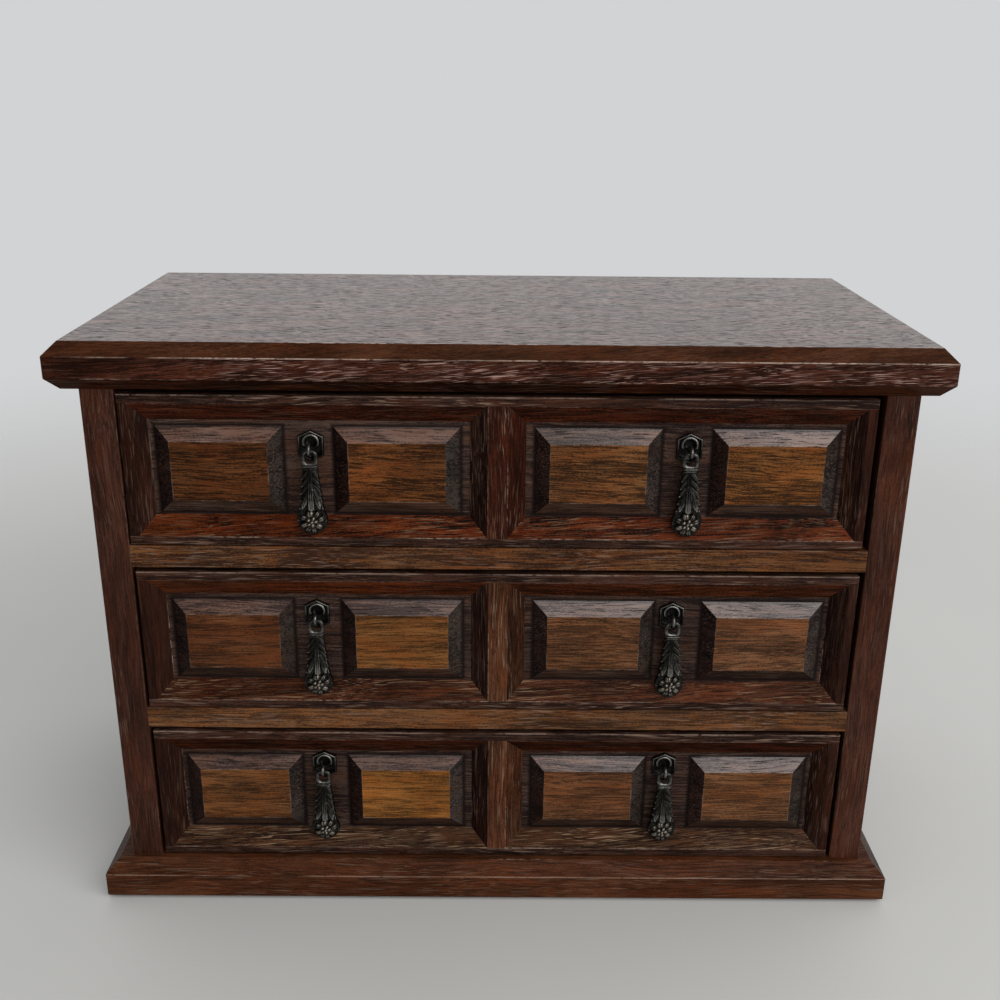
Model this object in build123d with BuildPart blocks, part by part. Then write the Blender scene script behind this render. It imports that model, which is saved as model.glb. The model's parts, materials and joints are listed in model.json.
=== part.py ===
from build123d import *
from math import cos, pi, radians, sin
import os

# Musical jewelry chest with three drawers, a wooden carcase and a wind-up movement at the back.
# X runs across, Y from front to back, Z up. The origin is the middle of the base's underside.

os.makedirs("parts", exist_ok=True)

# Carcase
carcase_width = 273.0
carcase_depth = 135.0
side_thickness = 11.05
back_thickness = 6.0
back_rebate = 5.0
edge_ease = 0.5

# Base and top boards
base_side_overhang = 8.95
base_thickness = 15.1
base_front_overhang = 6.55
base_top_chamfer = 4.65
base_foot_chamfer_height = 1.4
base_foot_chamfer_run = 3.3
top_side_overhang = 9.7
top_thickness = 15.7
top_front_overhang = 3.8
top_upper_chamfer = 4.3
top_lower_chamfer_height = 4.2
top_lower_chamfer_run = 3.8

# Openings, rails and dust panels
opening_height = 54.6
drawer_count = 3
rail_height = 8.0
rail_depth = 16.0
groove_depth = 3.0
groove_setback = 6.0
dust_panel_thickness = 4.0
dust_panel_lap = 6.0

# Drawers
front_gap_above = 1.6
front_gap_below = 0.4
front_gap_side = 1.3
running_clearance = 0.1
stop_clearance = 0.3
front_board_thickness = 9.0
drawer_wall = 6.0
drawer_wall_height = 44.0
drawer_bottom_thickness = 3.0
drawer_bottom_lift = 3.0
drawer_groove = 3.0
lining_thickness = 1.0
lining_drop = 2.0
stop_block = 10.0
stop_block_height = 8.0

# Relief of the drawer fronts
relief_depth = 3.0
frame_strip = 3.1
frame_top_bevel = 6.0
frame_bottom_bevel = 7.2
frame_side_bevel = 6.0
mullion_face = 6.7
field_bevel = 5.0
field_thickness = 2.8
field_margin_mullion = 2.95
field_margin_stile = 1.75
field_margin_top = 1.95
field_margin_bottom = 0.75
pull_space = 16.6

# Drop pulls
plate_width = 8.6
plate_height = 11.0
plate_shoulder = 2.1
plate_thickness = 1.2
plate_rim = 0.7
plate_rim_height = 0.5
eye_wire = 0.6
eye_hole = 1.15
shank_radius = 0.8
shank_depth = 6.0
hinge_below_plate_middle = 0.7
hinge_forward = 1.7
bail_wire = 0.65
bail_width = 5.7
bail_height = 5.0
bail_corner = 0.9
collar_width = 5.8
collar_height = 1.8
collar_thickness = 2.8
leaf_top_width = 5.2
leaf_middle_width = 7.2
leaf_bottom_width = 10.0
leaf_length = 14.0
leaf_thickness = 2.4
leaf_back_step = 0.2
flower_radius = 5.2
flower_thickness = 3.8
flower_rim = 1.6
dome_shoulder_height = 0.72
dome_shoulder_reach = 0.62
pendant_length = 29.2
pendant_clearance = 0.35
clearance = 0.08

# Movement: overall places
key_x = 0.0
movement_rise = 21.0
bedplate_thickness = 3.0
bedplate_left = 14.0
bedplate_right = 50.0
bedplate_below = 16.0
bedplate_above = 28.5
bedplate_corner = 3.0
drawer_to_movement = 1.5

# Movement: spring and drive gear
housing_radius = 10.5
housing_height = 8.5
housing_wall = 0.8
ear_reach = 4.0
ear_width = 5.0
ear_thickness = 1.0
ear_count = 3
first_ear_angle = 60
arbor_radius = 1.75
arbor_nose = 0.6
spring_thickness = 0.35
spring_half_turns = 13
spring_height = 6.0
spring_start_gap = 0.32
gear_gap = 0.3
gear_disc = 1.0
crown_tooth_height = 1.0
crown_tooth_width = 0.5
crown_tooth_length = 2.0
crown_teeth = 40
tooth_clearance = 0.15

# Movement: cylinder
module_drive = 0.5
pinion_teeth = 14
pinion_width = 1.6
cylinder_radius = 6.5
cylinder_length = 19.2
cylinder_pin_radius = 0.2
cylinder_pin_height = 0.8
cylinder_gap = 0.6
pins_per_note = 5
pin_advance = 0.382
note_count = 18
note_pitch = 1.05
spindle_radius = 0.75
post_width = 1.8
post_half_height = 2.0
cylinder_gear_teeth = 28
cylinder_gear_width = 1.2

# Movement: comb
comb_thickness = 1.0
comb_gap = 0.3
comb_tooth_bass = 11.5
comb_tooth_treble = 7.5
comb_slot = 0.25
comb_length = 19.5
comb_seat = 7.5

# Movement: governor, fly and stop lever. The teeth's rise and depth are in modules
gear_addendum = 0.8
gear_dedendum = 1.1
module_governor = 0.4
module_fly = 0.35
small_pinion_teeth = 8
governor_teeth = 26
governor_wheel_width = 0.8
wheel_gap = 0.8
governor_arbor_radius = 0.6
fly_arbor_radius = 0.5
bracket_thickness = 1.0
bracket_span = 10.8
bracket_foot = 1.2
bracket_head = 2.5
fly_radius = 4.6
fly_length = 5.0
fly_hub_radius = 1.0
fly_vane = 0.4
ear_plate_reach = 8.0
ear_plate_thickness = 1.2
ear_plate_depth = 6.2
ear_plate_forward = 1.55
lever_thickness = 1.2
lever_clearance = 0.35
lever_hub_radius = 2.2
lever_arm = 10.5
lever_width = 1.6
lever_pin_radius = 0.75
lever_pin_inset = 3.5
lever_pin_head = 0.4
lever_nose_width = 0.8

# Screws and winding key
screw_shank = 0.8
screw_length = 3.2
screw_head_radius = 1.7
screw_head_height = 1.1
screw_slot = 0.4
mount_screw_shank = 1.2
mount_screw_bite = 2.4
mount_screw_head_radius = 2.6
mount_screw_head_height = 1.5
mount_screw_inset = 4.5
key_gap = 1.0
key_hub_radius = 3.0
key_hub_length = 9.0
key_socket = 7.0
key_wing_width = 24.0
key_wing_length = 13.0
key_wing_root = 3.0
key_wing_thickness = 2.0
key_wing_corner = 5.0
key_wing_hole = 2.6

# Drawers from the bottom up. Each rests a little off the middle, and its pulls were placed by hand:
# their sideways errors and the drop of the plate's point below the ground's upper edge
drawer_names = ["bottom", "middle", "top"]
drawer_offset = {"bottom": -0.1, "middle": -0.3, "top": -0.8}
left_pull_error = {"bottom": -0.4, "middle": -0.2, "top": 0.9}
right_pull_error = {"bottom": -1.6, "middle": -2.1, "top": 0.7}
plate_drop = {"bottom": 0.1, "middle": 1.9, "top": 3.1}

# Places that follow from the sizes
base_width = carcase_width + 2 * base_side_overhang
top_width = carcase_width + 2 * top_side_overhang
inner_width = carcase_width - 2 * side_thickness
carcase_height = drawer_count * opening_height + (drawer_count - 1) * rail_height
top_z = base_thickness + carcase_height
base_front_y = -(carcase_depth + base_front_overhang) / 2
front_y = base_front_y + base_front_overhang
back_y = front_y + carcase_depth
back_panel_y = back_y - back_thickness
rail_back_y = front_y + rail_depth
front_width = inner_width - 2 * front_gap_side
front_height = opening_height - front_gap_above - front_gap_below

# Outline of the drawer fronts' relief, from the middle of a front: strips, slopes and sunk ground
top_edge = front_height / 2
strip_top = top_edge - frame_strip
ground_top = strip_top - frame_top_bevel
strip_bottom = -top_edge + frame_strip
ground_bottom = strip_bottom + frame_bottom_bevel
strip_side = front_width / 2 - frame_strip
ground_side = strip_side - frame_side_bevel
mullion_side = mullion_face / 2
mullion_ground = mullion_side + frame_side_bevel
field_top = ground_top - field_margin_top
field_bottom = ground_bottom + field_margin_bottom
fields_inner = mullion_ground + field_margin_mullion
fields_outer = ground_side - field_margin_stile
field_width = (fields_outer - fields_inner - pull_space) / 2
field_height = field_top - field_bottom
inner_field_x = fields_inner + field_width / 2
outer_field_x = fields_outer - field_width / 2
pull_x = (inner_field_x + outer_field_x) / 2
bedplate_y = back_panel_y - bedplate_thickness
movement_z = top_z - opening_height + movement_rise

gear_face = housing_height + gear_gap + gear_disc
pinion_radius = module_drive * pinion_teeth / 2
crown_radius = module_drive * crown_teeth / 2
cylinder_h = gear_face + crown_tooth_height / 2 + pinion_radius
pin_tip_radius = cylinder_radius + cylinder_pin_height
post_left = crown_radius + crown_tooth_length / 2 + gear_gap
cylinder_left = post_left + post_width + cylinder_gap
cylinder_right = cylinder_left + cylinder_length
cylinder_gear_left = cylinder_right + cylinder_gap
governor_pinion_drop = module_governor * (cylinder_gear_teeth + small_pinion_teeth) / 2
fly_drop = governor_pinion_drop + module_fly * (governor_teeth + small_pinion_teeth) / 2
governor_wheel_left = cylinder_gear_left + cylinder_gear_width + wheel_gap
bracket_left = governor_wheel_left + governor_wheel_width + wheel_gap
bracket_right = bracket_left + bracket_span
lever_back_h = cylinder_h + fly_radius + lever_clearance
drawer_back_h = cylinder_h + pin_tip_radius + drawer_to_movement
top_drawer_back_y = bedplate_y - drawer_back_h
drawer_back_y = {
    "bottom": back_panel_y - stop_clearance,
    "middle": back_panel_y - stop_clearance,
    "top": top_drawer_back_y,
}

# The movement's own frame: X across, Y up, and heights measured forward from the bedplate's face
movement = Plane(origin=(key_x, bedplate_y, movement_z), x_dir=(1, 0, 0), z_dir=(0, -1, 0))


def block(low, high, mode=Mode.ADD):
    """Box between two opposite corners, in the part that is being built."""
    start = tuple(min(a, b) for a, b in zip(low, high))
    size = [abs(b - a) for a, b in zip(low, high)]
    with Locations(start):
        Box(*size, align=(Align.MIN, Align.MIN, Align.MIN), mode=mode)


def save(part, node):
    """Label a finished piece and write it."""
    part.label = node
    export_step(part, f"parts/{node}.step")


def floor_z(level):
    """Height of the surface that the drawer of a level slides on."""
    return base_thickness + level * (opening_height + rail_height)


# Base board, chamfered at the front and sides
with BuildPart() as base_board:
    block((-base_width / 2, base_front_y, 0), (base_width / 2, back_y, base_thickness))
    upper_edges = base_board.faces().sort_by(Axis.Z)[-1].edges().sort_by(Axis.Y)[:-1]
    chamfer(upper_edges, base_top_chamfer)
    underside = base_board.faces().sort_by(Axis.Z)[0]
    lower_edges = underside.edges().sort_by(Axis.Y)[:-1]
    chamfer(lower_edges, base_foot_chamfer_run, base_foot_chamfer_height, reference=underside)
    eased = base_board.edges().filter_by(lambda e: e.center().Y < back_y - edge_ease)
    fillet(eased, edge_ease)
save(base_board.part, "base_board")

# Top board, with a steeper chamfer below so that its underside ends at the carcase front
with BuildPart() as top_board:
    top_front_y = front_y - top_front_overhang
    block((-top_width / 2, top_front_y, top_z), (top_width / 2, back_y, top_z + top_thickness))
    upper_edges = top_board.faces().sort_by(Axis.Z)[-1].edges().sort_by(Axis.Y)[:-1]
    chamfer(upper_edges, top_upper_chamfer)
    underside = top_board.faces().sort_by(Axis.Z)[0]
    lower_edges = underside.edges().sort_by(Axis.Y)[:-1]
    chamfer(lower_edges, top_lower_chamfer_run, top_lower_chamfer_height, reference=underside)
    eased = top_board.edges().filter_by(lambda e: e.center().Y < back_y - edge_ease)
    fillet(eased, edge_ease)
save(top_board.part, "top_board")


def side_panel(side, node):
    """Side panel with grooves for the rails and dust panels and a rebate for the back."""
    inner_x = side * inner_width / 2
    outer_x = side * carcase_width / 2
    with BuildPart() as panel:
        block((inner_x, front_y, base_thickness), (outer_x, back_y, top_z))
        front_edges = panel.faces().sort_by(Axis.Y)[0].edges().filter_by(Axis.Z)
        fillet(front_edges, edge_ease)
        rebate_x = inner_x + side * back_rebate
        block((inner_x, back_panel_y, base_thickness), (rebate_x, back_y, top_z), Mode.SUBTRACT)
        for level in range(1, drawer_count):
            low = (inner_x, front_y + groove_setback, floor_z(level) - dust_panel_thickness)
            high = (inner_x + side * groove_depth, back_panel_y, floor_z(level))
            block(low, high, Mode.SUBTRACT)
    save(panel.part, node)


side_panel(-1, "left_side_panel")
side_panel(1, "right_side_panel")

for level, rail_name in enumerate(["lower", "upper"], start=1):
    rail_top = floor_z(level)
    tongue_x = inner_width / 2 + groove_depth
    # Rail with end tenons and a lap at the back for the dust panel
    with BuildPart() as rail:
        low = (-inner_width / 2, front_y, rail_top - rail_height)
        block(low, (inner_width / 2, rail_back_y, rail_top))
        front_edges = rail.faces().sort_by(Axis.Y)[0].edges().filter_by(Axis.X)
        fillet(front_edges, edge_ease)
        low = (-tongue_x, front_y + groove_setback, rail_top - dust_panel_thickness)
        block(low, (tongue_x, rail_back_y, rail_top))
        low = (-tongue_x, rail_back_y - dust_panel_lap, rail_top - dust_panel_thickness)
        block(low, (tongue_x, rail_back_y, rail_top), Mode.SUBTRACT)
    save(rail.part, f"{rail_name}_rail")

    with BuildPart() as dust_panel:
        low = (-tongue_x, rail_back_y - dust_panel_lap, rail_top - dust_panel_thickness)
        block(low, (tongue_x, back_panel_y, rail_top))
    save(dust_panel.part, f"{rail_name}_dust_panel")

# Mounting screws of the movement, near the corners of its bedplate that are free
mount_screw_places = [
    (-bedplate_left + mount_screw_inset, bedplate_above - mount_screw_inset),
    (bedplate_right - mount_screw_inset, bedplate_above - mount_screw_inset),
    (-bedplate_left + mount_screw_inset, -bedplate_below + mount_screw_inset),
    (cylinder_left + mount_screw_inset, -bedplate_below + mount_screw_inset),
]

with BuildPart() as back_panel:
    half_back = inner_width / 2 + back_rebate
    block((-half_back, back_panel_y, base_thickness), (half_back, back_y, top_z))
    with BuildSketch(movement.offset(-bedplate_thickness)):
        Circle(key_hub_radius + key_gap)
        with Locations(*mount_screw_places):
            Circle(mount_screw_shank)
    extrude(amount=-back_thickness, mode=Mode.SUBTRACT)
save(back_panel.part, "back_panel")


def drawer(name, level):
    """One drawer with its relief front, lining and two drop pulls."""
    middle_x = drawer_offset[name]
    front_z = floor_z(level) + front_gap_below
    wall_z = floor_z(level) + running_clearance
    ground_y = front_y + relief_depth
    box_y = ground_y + front_board_thickness
    rear_y = drawer_back_y[name]
    half = front_width / 2
    inside = half - drawer_wall
    bottom_z = wall_z + drawer_bottom_lift
    floor = bottom_z + drawer_bottom_thickness
    wall_top = wall_z + drawer_wall_height
    front_middle = (middle_x, front_y, front_z + front_height / 2)
    front_plane = Plane(origin=front_middle, x_dir=(1, 0, 0), z_dir=(0, -1, 0))
    ground_plane = front_plane.offset(-relief_depth)
    pulls = [(-pull_x + left_pull_error[name], "left"), (pull_x + right_pull_error[name], "right")]
    plate_up = ground_top - plate_drop[name] - plate_height / 2
    hinge_z = front_z + front_height / 2 + plate_up - hinge_below_plate_middle
    hinge_y = front_y - hinge_forward
    eye_radius = eye_hole + eye_wire
    shank_h = relief_depth - plate_thickness + hinge_forward - eye_radius

    # Board behind the relief, grooved for the bottom and bored for the pull shanks
    with BuildPart() as front_board:
        low = (middle_x - half, ground_y, front_z)
        block(low, (middle_x + half, box_y, front_z + front_height))
        low = (middle_x - inside - drawer_groove, box_y - drawer_groove, bottom_z)
        block(low, (middle_x + inside + drawer_groove, box_y, floor), Mode.SUBTRACT)
        with BuildSketch(ground_plane):
            with Locations(*[(x, plate_up) for x, side in pulls]):
                Circle(shank_radius)
        extrude(amount=-shank_depth, mode=Mode.SUBTRACT)
    save(front_board.part, f"{name}_drawer_front")

    # Frame on the front: two rails, two stiles and a mullion, all with sloping inner edges
    with BuildPart() as stock:
        low = (middle_x - half, front_y, front_z)
        block(low, (middle_x + half, ground_y, front_z + front_height))
        front_edges = stock.faces().sort_by(Axis.Y)[0].edges()
        fillet(front_edges, edge_ease)
        for side in (-1, 1):
            mouth_x = side * (mullion_side + strip_side) / 2
            with BuildSketch(front_plane):
                with Locations((mouth_x, (strip_top + strip_bottom) / 2)):
                    Rectangle(strip_side - mullion_side, strip_top - strip_bottom)
            sunk_x = side * (mullion_ground + ground_side) / 2
            with BuildSketch(ground_plane):
                with Locations((sunk_x, (ground_top + ground_bottom) / 2)):
                    Rectangle(ground_side - mullion_ground, ground_top - ground_bottom)
            loft(ruled=True, mode=Mode.SUBTRACT)

    rail_outlines = []
    for edge, strip, ground in ((top_edge, strip_top, ground_top), (-top_edge, strip_bottom, ground_bottom)):
        right_half = [
            (mullion_side, strip),
            (mullion_ground, ground),
            (ground_side, ground),
            (strip_side, strip),
            (half, strip),
            (half, edge),
        ]
        rail_outlines.append(right_half + [(-x, y) for x, y in reversed(right_half)])
    stile_outline = [
        (half, strip_top),
        (strip_side, strip_top),
        (ground_side, ground_top),
        (ground_side, ground_bottom),
        (strip_side, strip_bottom),
        (half, strip_bottom),
    ]
    mullion_half = [
        (mullion_side, strip_top),
        (mullion_ground, ground_top),
        (mullion_ground, ground_bottom),
        (mullion_side, strip_bottom),
    ]
    outlines = rail_outlines + [
        stile_outline,
        [(-x, y) for x, y in stile_outline],
        mullion_half + [(-x, y) for x, y in reversed(mullion_half)],
    ]
    frame_pieces = []
    for outline in outlines:
        with BuildPart() as frame_piece:
            add(stock.part)
            with BuildSketch(front_plane):
                with BuildLine():
                    Polyline(*outline, close=True)
                make_face()
            extrude(amount=-relief_depth, mode=Mode.INTERSECT)
        frame_pieces.append(frame_piece.part)
    save(Compound(frame_pieces), f"{name}_drawer_frame")

    # Four raised fields, bevelled all round, standing on the ground board
    with BuildPart() as fields:
        for field_x in (-outer_field_x, -inner_field_x, inner_field_x, outer_field_x):
            with BuildSketch(ground_plane):
                with Locations((field_x, (field_top + field_bottom) / 2)):
                    Rectangle(field_width, field_height)
            with BuildSketch(ground_plane.offset(field_thickness)):
                with Locations((field_x, (field_top + field_bottom) / 2)):
                    Rectangle(field_width - 2 * field_bevel, field_height - 2 * field_bevel)
            loft(ruled=True)
    save(fields.part, f"{name}_drawer_fields")

    # Side walls, grooved for the bottom
    for side, side_name in ((-1, "left"), (1, "right")):
        with BuildPart() as wall:
            inner_x = middle_x + side * inside
            block((inner_x, box_y, wall_z), (middle_x + side * half, rear_y, wall_top))
            groove_x = inner_x + side * drawer_groove
            block((inner_x, box_y, bottom_z), (groove_x, rear_y, floor), Mode.SUBTRACT)
        save(wall.part, f"{name}_drawer_{side_name}_side")

    # The bottom runs under the back wall
    with BuildPart() as bottom:
        bottom_half = inside + drawer_groove
        low = (middle_x - bottom_half, box_y - drawer_groove, bottom_z)
        block(low, (middle_x + bottom_half, rear_y, floor))
    save(bottom.part, f"{name}_drawer_bottom")

    with BuildPart() as rear:
        low = (middle_x - inside, rear_y - drawer_wall, floor)
        block(low, (middle_x + inside, rear_y, wall_top))
    save(rear.part, f"{name}_drawer_back")

    # Velvet lining on the bottom and all four walls
    with BuildPart() as lining:
        lining_top = wall_top - lining_drop
        low = (middle_x - inside, box_y, floor)
        block(low, (middle_x + inside, rear_y - drawer_wall, lining_top))
        low = (middle_x - inside + lining_thickness, box_y + lining_thickness, floor + lining_thickness)
        high = (middle_x + inside - lining_thickness, rear_y - drawer_wall - lining_thickness, lining_top)
        block(low, high, Mode.SUBTRACT)
    save(lining.part, f"{name}_drawer_lining")

    # Pointed plates of the pulls, each with a raised rim and a hole for its shank
    rise = plate_height / 2
    plate_side = plate_width / 2
    shoulder = rise - plate_shoulder
    plate_outline = [
        (0, rise),
        (plate_side, shoulder),
        (plate_side, -shoulder),
        (0, -rise),
        (-plate_side, -shoulder),
        (-plate_side, shoulder),
    ]
    with BuildPart() as plates:
        for x, side_name in pulls:
            outline = [(x + px, plate_up + py) for px, py in plate_outline]
            with BuildSketch(ground_plane):
                with BuildLine():
                    Polyline(*outline, close=True)
                make_face()
            extrude(amount=plate_thickness)
            with BuildSketch(ground_plane.offset(plate_thickness)):
                with BuildLine():
                    Polyline(*outline, close=True)
                make_face()
                offset(amount=-plate_rim, mode=Mode.SUBTRACT)
            extrude(amount=plate_rim_height)
            with BuildSketch(ground_plane):
                with Locations((x, plate_up)):
                    Circle(shank_radius)
            extrude(amount=plate_thickness, mode=Mode.SUBTRACT)
    save(plates.part, f"{name}_pull_plates")

    # Eyes that the pendants hang in, on shanks driven into the board
    with BuildPart() as staples:
        for x, side_name in pulls:
            with BuildSketch(ground_plane.offset(-shank_depth)):
                with Locations((x, plate_up)):
                    Circle(shank_radius)
            extrude(amount=shank_depth + plate_thickness + shank_h + eye_wire)
            eye_plane = Plane(origin=(middle_x + x, hinge_y, hinge_z), x_dir=(0, 1, 0), z_dir=(1, 0, 0))
            with BuildSketch(eye_plane.offset(-eye_wire)):
                Circle(eye_radius + eye_wire)
            extrude(amount=2 * eye_wire)
            with BuildSketch(eye_plane.offset(-eye_wire - clearance)):
                Circle(eye_hole)
            extrude(amount=2 * (eye_wire + clearance), mode=Mode.SUBTRACT)
    save(staples.part, f"{name}_pull_staples")

    # Pendants: bail, collar, widening leaf and flower, hanging in front of the frame
    for x, side_name in pulls:
        hang_x = middle_x + x
        rear_h = pendant_clearance
        leaf_y = front_y - rear_h - leaf_back_step - leaf_thickness / 2
        collar_z = hinge_z - bail_height + bail_wire
        leaf_z = collar_z - collar_height
        flower_z = hinge_z - pendant_length + flower_radius
        bail_half = bail_width / 2 - bail_wire
        bail_plane = Plane(origin=(hang_x, hinge_y, hinge_z), x_dir=(1, 0, 0), z_dir=(0, -1, 0))
        with BuildPart() as pendant:
            leg_down = -bail_height
            with BuildLine(bail_plane) as bail_path:
                FilletPolyline(
                    (-bail_half, leg_down),
                    (-bail_half, 0),
                    (bail_half, 0),
                    (bail_half, leg_down),
                    radius=bail_corner,
                )
            with BuildSketch(Plane(origin=bail_path.line @ 0, z_dir=bail_path.line % 0)):
                Circle(bail_wire)
            sweep(path=bail_path.line)
            collar_low = (hang_x - collar_width / 2, leaf_y - collar_thickness / 2, leaf_z)
            block(collar_low, (hang_x + collar_width / 2, leaf_y + collar_thickness / 2, collar_z))
            leaf_sections = [
                (0.0, leaf_top_width),
                (0.5, leaf_middle_width),
                (1.0, leaf_bottom_width),
            ]
            for share, width in leaf_sections:
                section_z = leaf_z - share * leaf_length
                leaf_edge = width / 2
                leaf_back = (leaf_edge - leaf_thickness / 4, -leaf_thickness / 2)
                leaf_front = (leaf_edge - leaf_thickness / 2, leaf_thickness / 2)
                right_side = [leaf_back, (leaf_edge, 0), leaf_front]
                section = Plane(origin=(hang_x, leaf_y, section_z), x_dir=(1, 0, 0), z_dir=(0, 0, 1))
                with BuildSketch(section):
                    with BuildLine():
                        Polyline(*[(px, -py) for px, py in right_side],
                                 *[(-px, -py) for px, py in reversed(right_side)], close=True)
                    make_face()
            loft(ruled=True)
            # The flower is a low dome, turned about the line that points forward from its middle
            flower_back = (hang_x, front_y - rear_h, flower_z)
            with BuildSketch(Plane(origin=flower_back, x_dir=(0, -1, 0), z_dir=(1, 0, 0))):
                with BuildLine():
                    shoulder_h = flower_rim + dome_shoulder_height * (flower_thickness - flower_rim)
                    Polyline((flower_thickness, 0), (0, 0), (0, flower_radius), (flower_rim, flower_radius))
                    ThreePointArc(
                        (flower_rim, flower_radius),
                        (shoulder_h, dome_shoulder_reach * flower_radius),
                        (flower_thickness, 0),
                    )
                make_face()
            revolve(axis=Axis(flower_back, (0, -1, 0)))
        save(pendant.part, f"{name}_{side_name}_pendant")


for level, name in enumerate(drawer_names):
    drawer(name, level)


def gear_outline(teeth, tip, root, first_tooth):
    """Corners of a spur gear's outline, four to a tooth, with slim straight-sided teeth."""
    tip_share = 0.10
    root_share = 0.25
    corners = []
    for tooth in range(teeth):
        for radius, share in ((root, -root_share), (tip, -tip_share), (tip, tip_share), (root, root_share)):
            angle = radians(first_tooth) + 2 * pi * (tooth + share) / teeth
            corners.append((radius * cos(angle), radius * sin(angle)))
    return corners


def gear_radii(module, teeth):
    """Tip and root radius of a gear of the governor train."""
    pitch_radius = module * teeth / 2
    return pitch_radius + gear_addendum * module, pitch_radius - gear_dedendum * module


def across(x, up, height):
    """Plane square to X at a place in the movement, for pieces that turn about X."""
    return Plane(
        origin=(key_x + x, bedplate_y - height, movement_z + up),
        x_dir=(0, 1, 0),
        z_dir=(1, 0, 0),
    )


def movement_block(low, high, mode=Mode.ADD):
    """Box between two corners given as across, up and height in the movement's own frame."""
    start = (key_x + low[0], bedplate_y - low[2], movement_z + low[1])
    end = (key_x + high[0], bedplate_y - high[2], movement_z + high[1])
    block(start, end, mode)


ear_angles = [first_ear_angle + 360 * ear / ear_count for ear in range(ear_count)]
ear_radius = housing_radius + ear_reach / 2
ear_screws = [(ear_radius * cos(radians(a)), ear_radius * sin(radians(a))) for a in ear_angles]
comb_low = pin_tip_radius + comb_gap
comb_high = comb_low + comb_length
comb_screw_up = comb_high - comb_seat / 2
comb_screws = [
    (cylinder_left + cylinder_length / 4, comb_screw_up),
    (cylinder_right - cylinder_length / 4, comb_screw_up),
]
foot_x = (bracket_left + bracket_right) / 2
foot_screws = [
    (foot_x, -fly_drop),
    (foot_x, 0),
]
pedestal_height = cylinder_h - comb_thickness / 2

# Bedplate: a cast plate with the comb's pedestal and the cylinder's inner bearing post
with BuildPart() as bedplate:
    plate_middle = ((bedplate_right - bedplate_left) / 2, (bedplate_above - bedplate_below) / 2)
    plate_size = (bedplate_left + bedplate_right, bedplate_above + bedplate_below)
    with BuildSketch(movement.offset(-bedplate_thickness)):
        with Locations(plate_middle):
            RectangleRounded(*plate_size, bedplate_corner)
    extrude(amount=bedplate_thickness)
    low = (cylinder_left, comb_high - comb_seat, 0)
    movement_block(low, (cylinder_right, comb_high, pedestal_height))
    post_top = cylinder_h + post_half_height
    low = (post_left, -post_half_height, 0)
    movement_block(low, (post_left + post_width, post_half_height, post_top))
    with BuildSketch(across(post_left, 0, cylinder_h)):
        Circle(spindle_radius + clearance)
    extrude(amount=post_width, mode=Mode.SUBTRACT)
    with BuildSketch(movement):
        Circle(arbor_radius + clearance)
    extrude(amount=-bedplate_thickness, mode=Mode.SUBTRACT)
    with BuildSketch(movement.offset(-bedplate_thickness)):
        with Locations(*mount_screw_places):
            Circle(mount_screw_shank)
    extrude(amount=mount_screw_bite, mode=Mode.SUBTRACT)
    with BuildSketch(movement):
        with Locations(*ear_screws, *foot_screws):
            Circle(screw_shank)
    extrude(amount=-(screw_length - ear_thickness), mode=Mode.SUBTRACT)
    with BuildSketch(movement.offset(pedestal_height)):
        with Locations(*comb_screws):
            Circle(screw_shank)
    extrude(amount=-(screw_length - comb_thickness), mode=Mode.SUBTRACT)
save(bedplate.part, "movement_bedplate")

# Spring housing: a drawn cup standing on three ears
with BuildPart() as housing:
    with BuildSketch(movement):
        Circle(housing_radius)
        with PolarLocations(housing_radius, ear_count, start_angle=ear_angles[0]):
            Rectangle(2 * ear_reach, ear_width)
    extrude(amount=ear_thickness)
    with BuildSketch(movement):
        Circle(housing_radius)
    extrude(amount=housing_height)
    with BuildSketch(movement):
        Circle(housing_radius - housing_wall)
    extrude(amount=housing_height - housing_wall, mode=Mode.SUBTRACT)
    with BuildSketch(movement.offset(housing_height)):
        Circle(arbor_radius + clearance)
    extrude(amount=-housing_wall, mode=Mode.SUBTRACT)
    with BuildSketch(movement):
        with Locations(*ear_screws):
            Circle(screw_shank)
    extrude(amount=ear_thickness, mode=Mode.SUBTRACT)
save(housing.part, "spring_housing")

# Mainspring: a flat ribbon wound as half-circle arcs about two centres, out to the housing's wall
spring_inner = arbor_radius + spring_start_gap
spring_space = housing_radius - housing_wall - spring_inner - spring_thickness
spring_pitch = 2 * spring_space / spring_half_turns
with BuildPart() as mainspring:
    with BuildSketch(movement.offset((housing_height - housing_wall - spring_height) / 2)):
        with BuildLine():
            for turn in range(spring_half_turns):
                side = 1 if turn % 2 == 0 else -1
                centre = side * spring_pitch / 4
                radius = spring_inner + spring_pitch / 4 + turn * spring_pitch / 2
                for edge in (radius, radius + spring_thickness):
                    reach = side * edge
                    ThreePointArc((centre - reach, 0), (centre, reach), (centre + reach, 0))
            Line((-spring_inner, 0), (-spring_inner - spring_thickness, 0))
            Line((centre + side * radius, 0), (centre + side * (radius + spring_thickness), 0))
        make_face()
    extrude(amount=spring_height)
save(mainspring.part, "mainspring")

# Winding arbor, from the drive gear through the bedplate to the key
key_start = -(bedplate_thickness + back_thickness + key_gap)
arbor_back = key_start - key_socket
with BuildPart() as arbor:
    with BuildSketch(movement.offset(arbor_back)):
        Circle(arbor_radius)
    extrude(amount=gear_face + arbor_nose - arbor_back)
save(arbor.part, "winding_arbor")

# Drive gear: a disc with a ring of crown teeth that face forward
with BuildPart() as drive_gear:
    with BuildSketch(movement.offset(gear_face - gear_disc)):
        Circle(crown_radius + crown_tooth_length / 2)
        Circle(arbor_radius, mode=Mode.SUBTRACT)
    extrude(amount=gear_disc)
    with BuildSketch(movement.offset(gear_face)):
        with PolarLocations(crown_radius, crown_teeth, start_angle=180 / crown_teeth):
            Rectangle(crown_tooth_length, crown_tooth_width)
    extrude(amount=crown_tooth_height)
save(drive_gear.part, "drive_gear")

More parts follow.
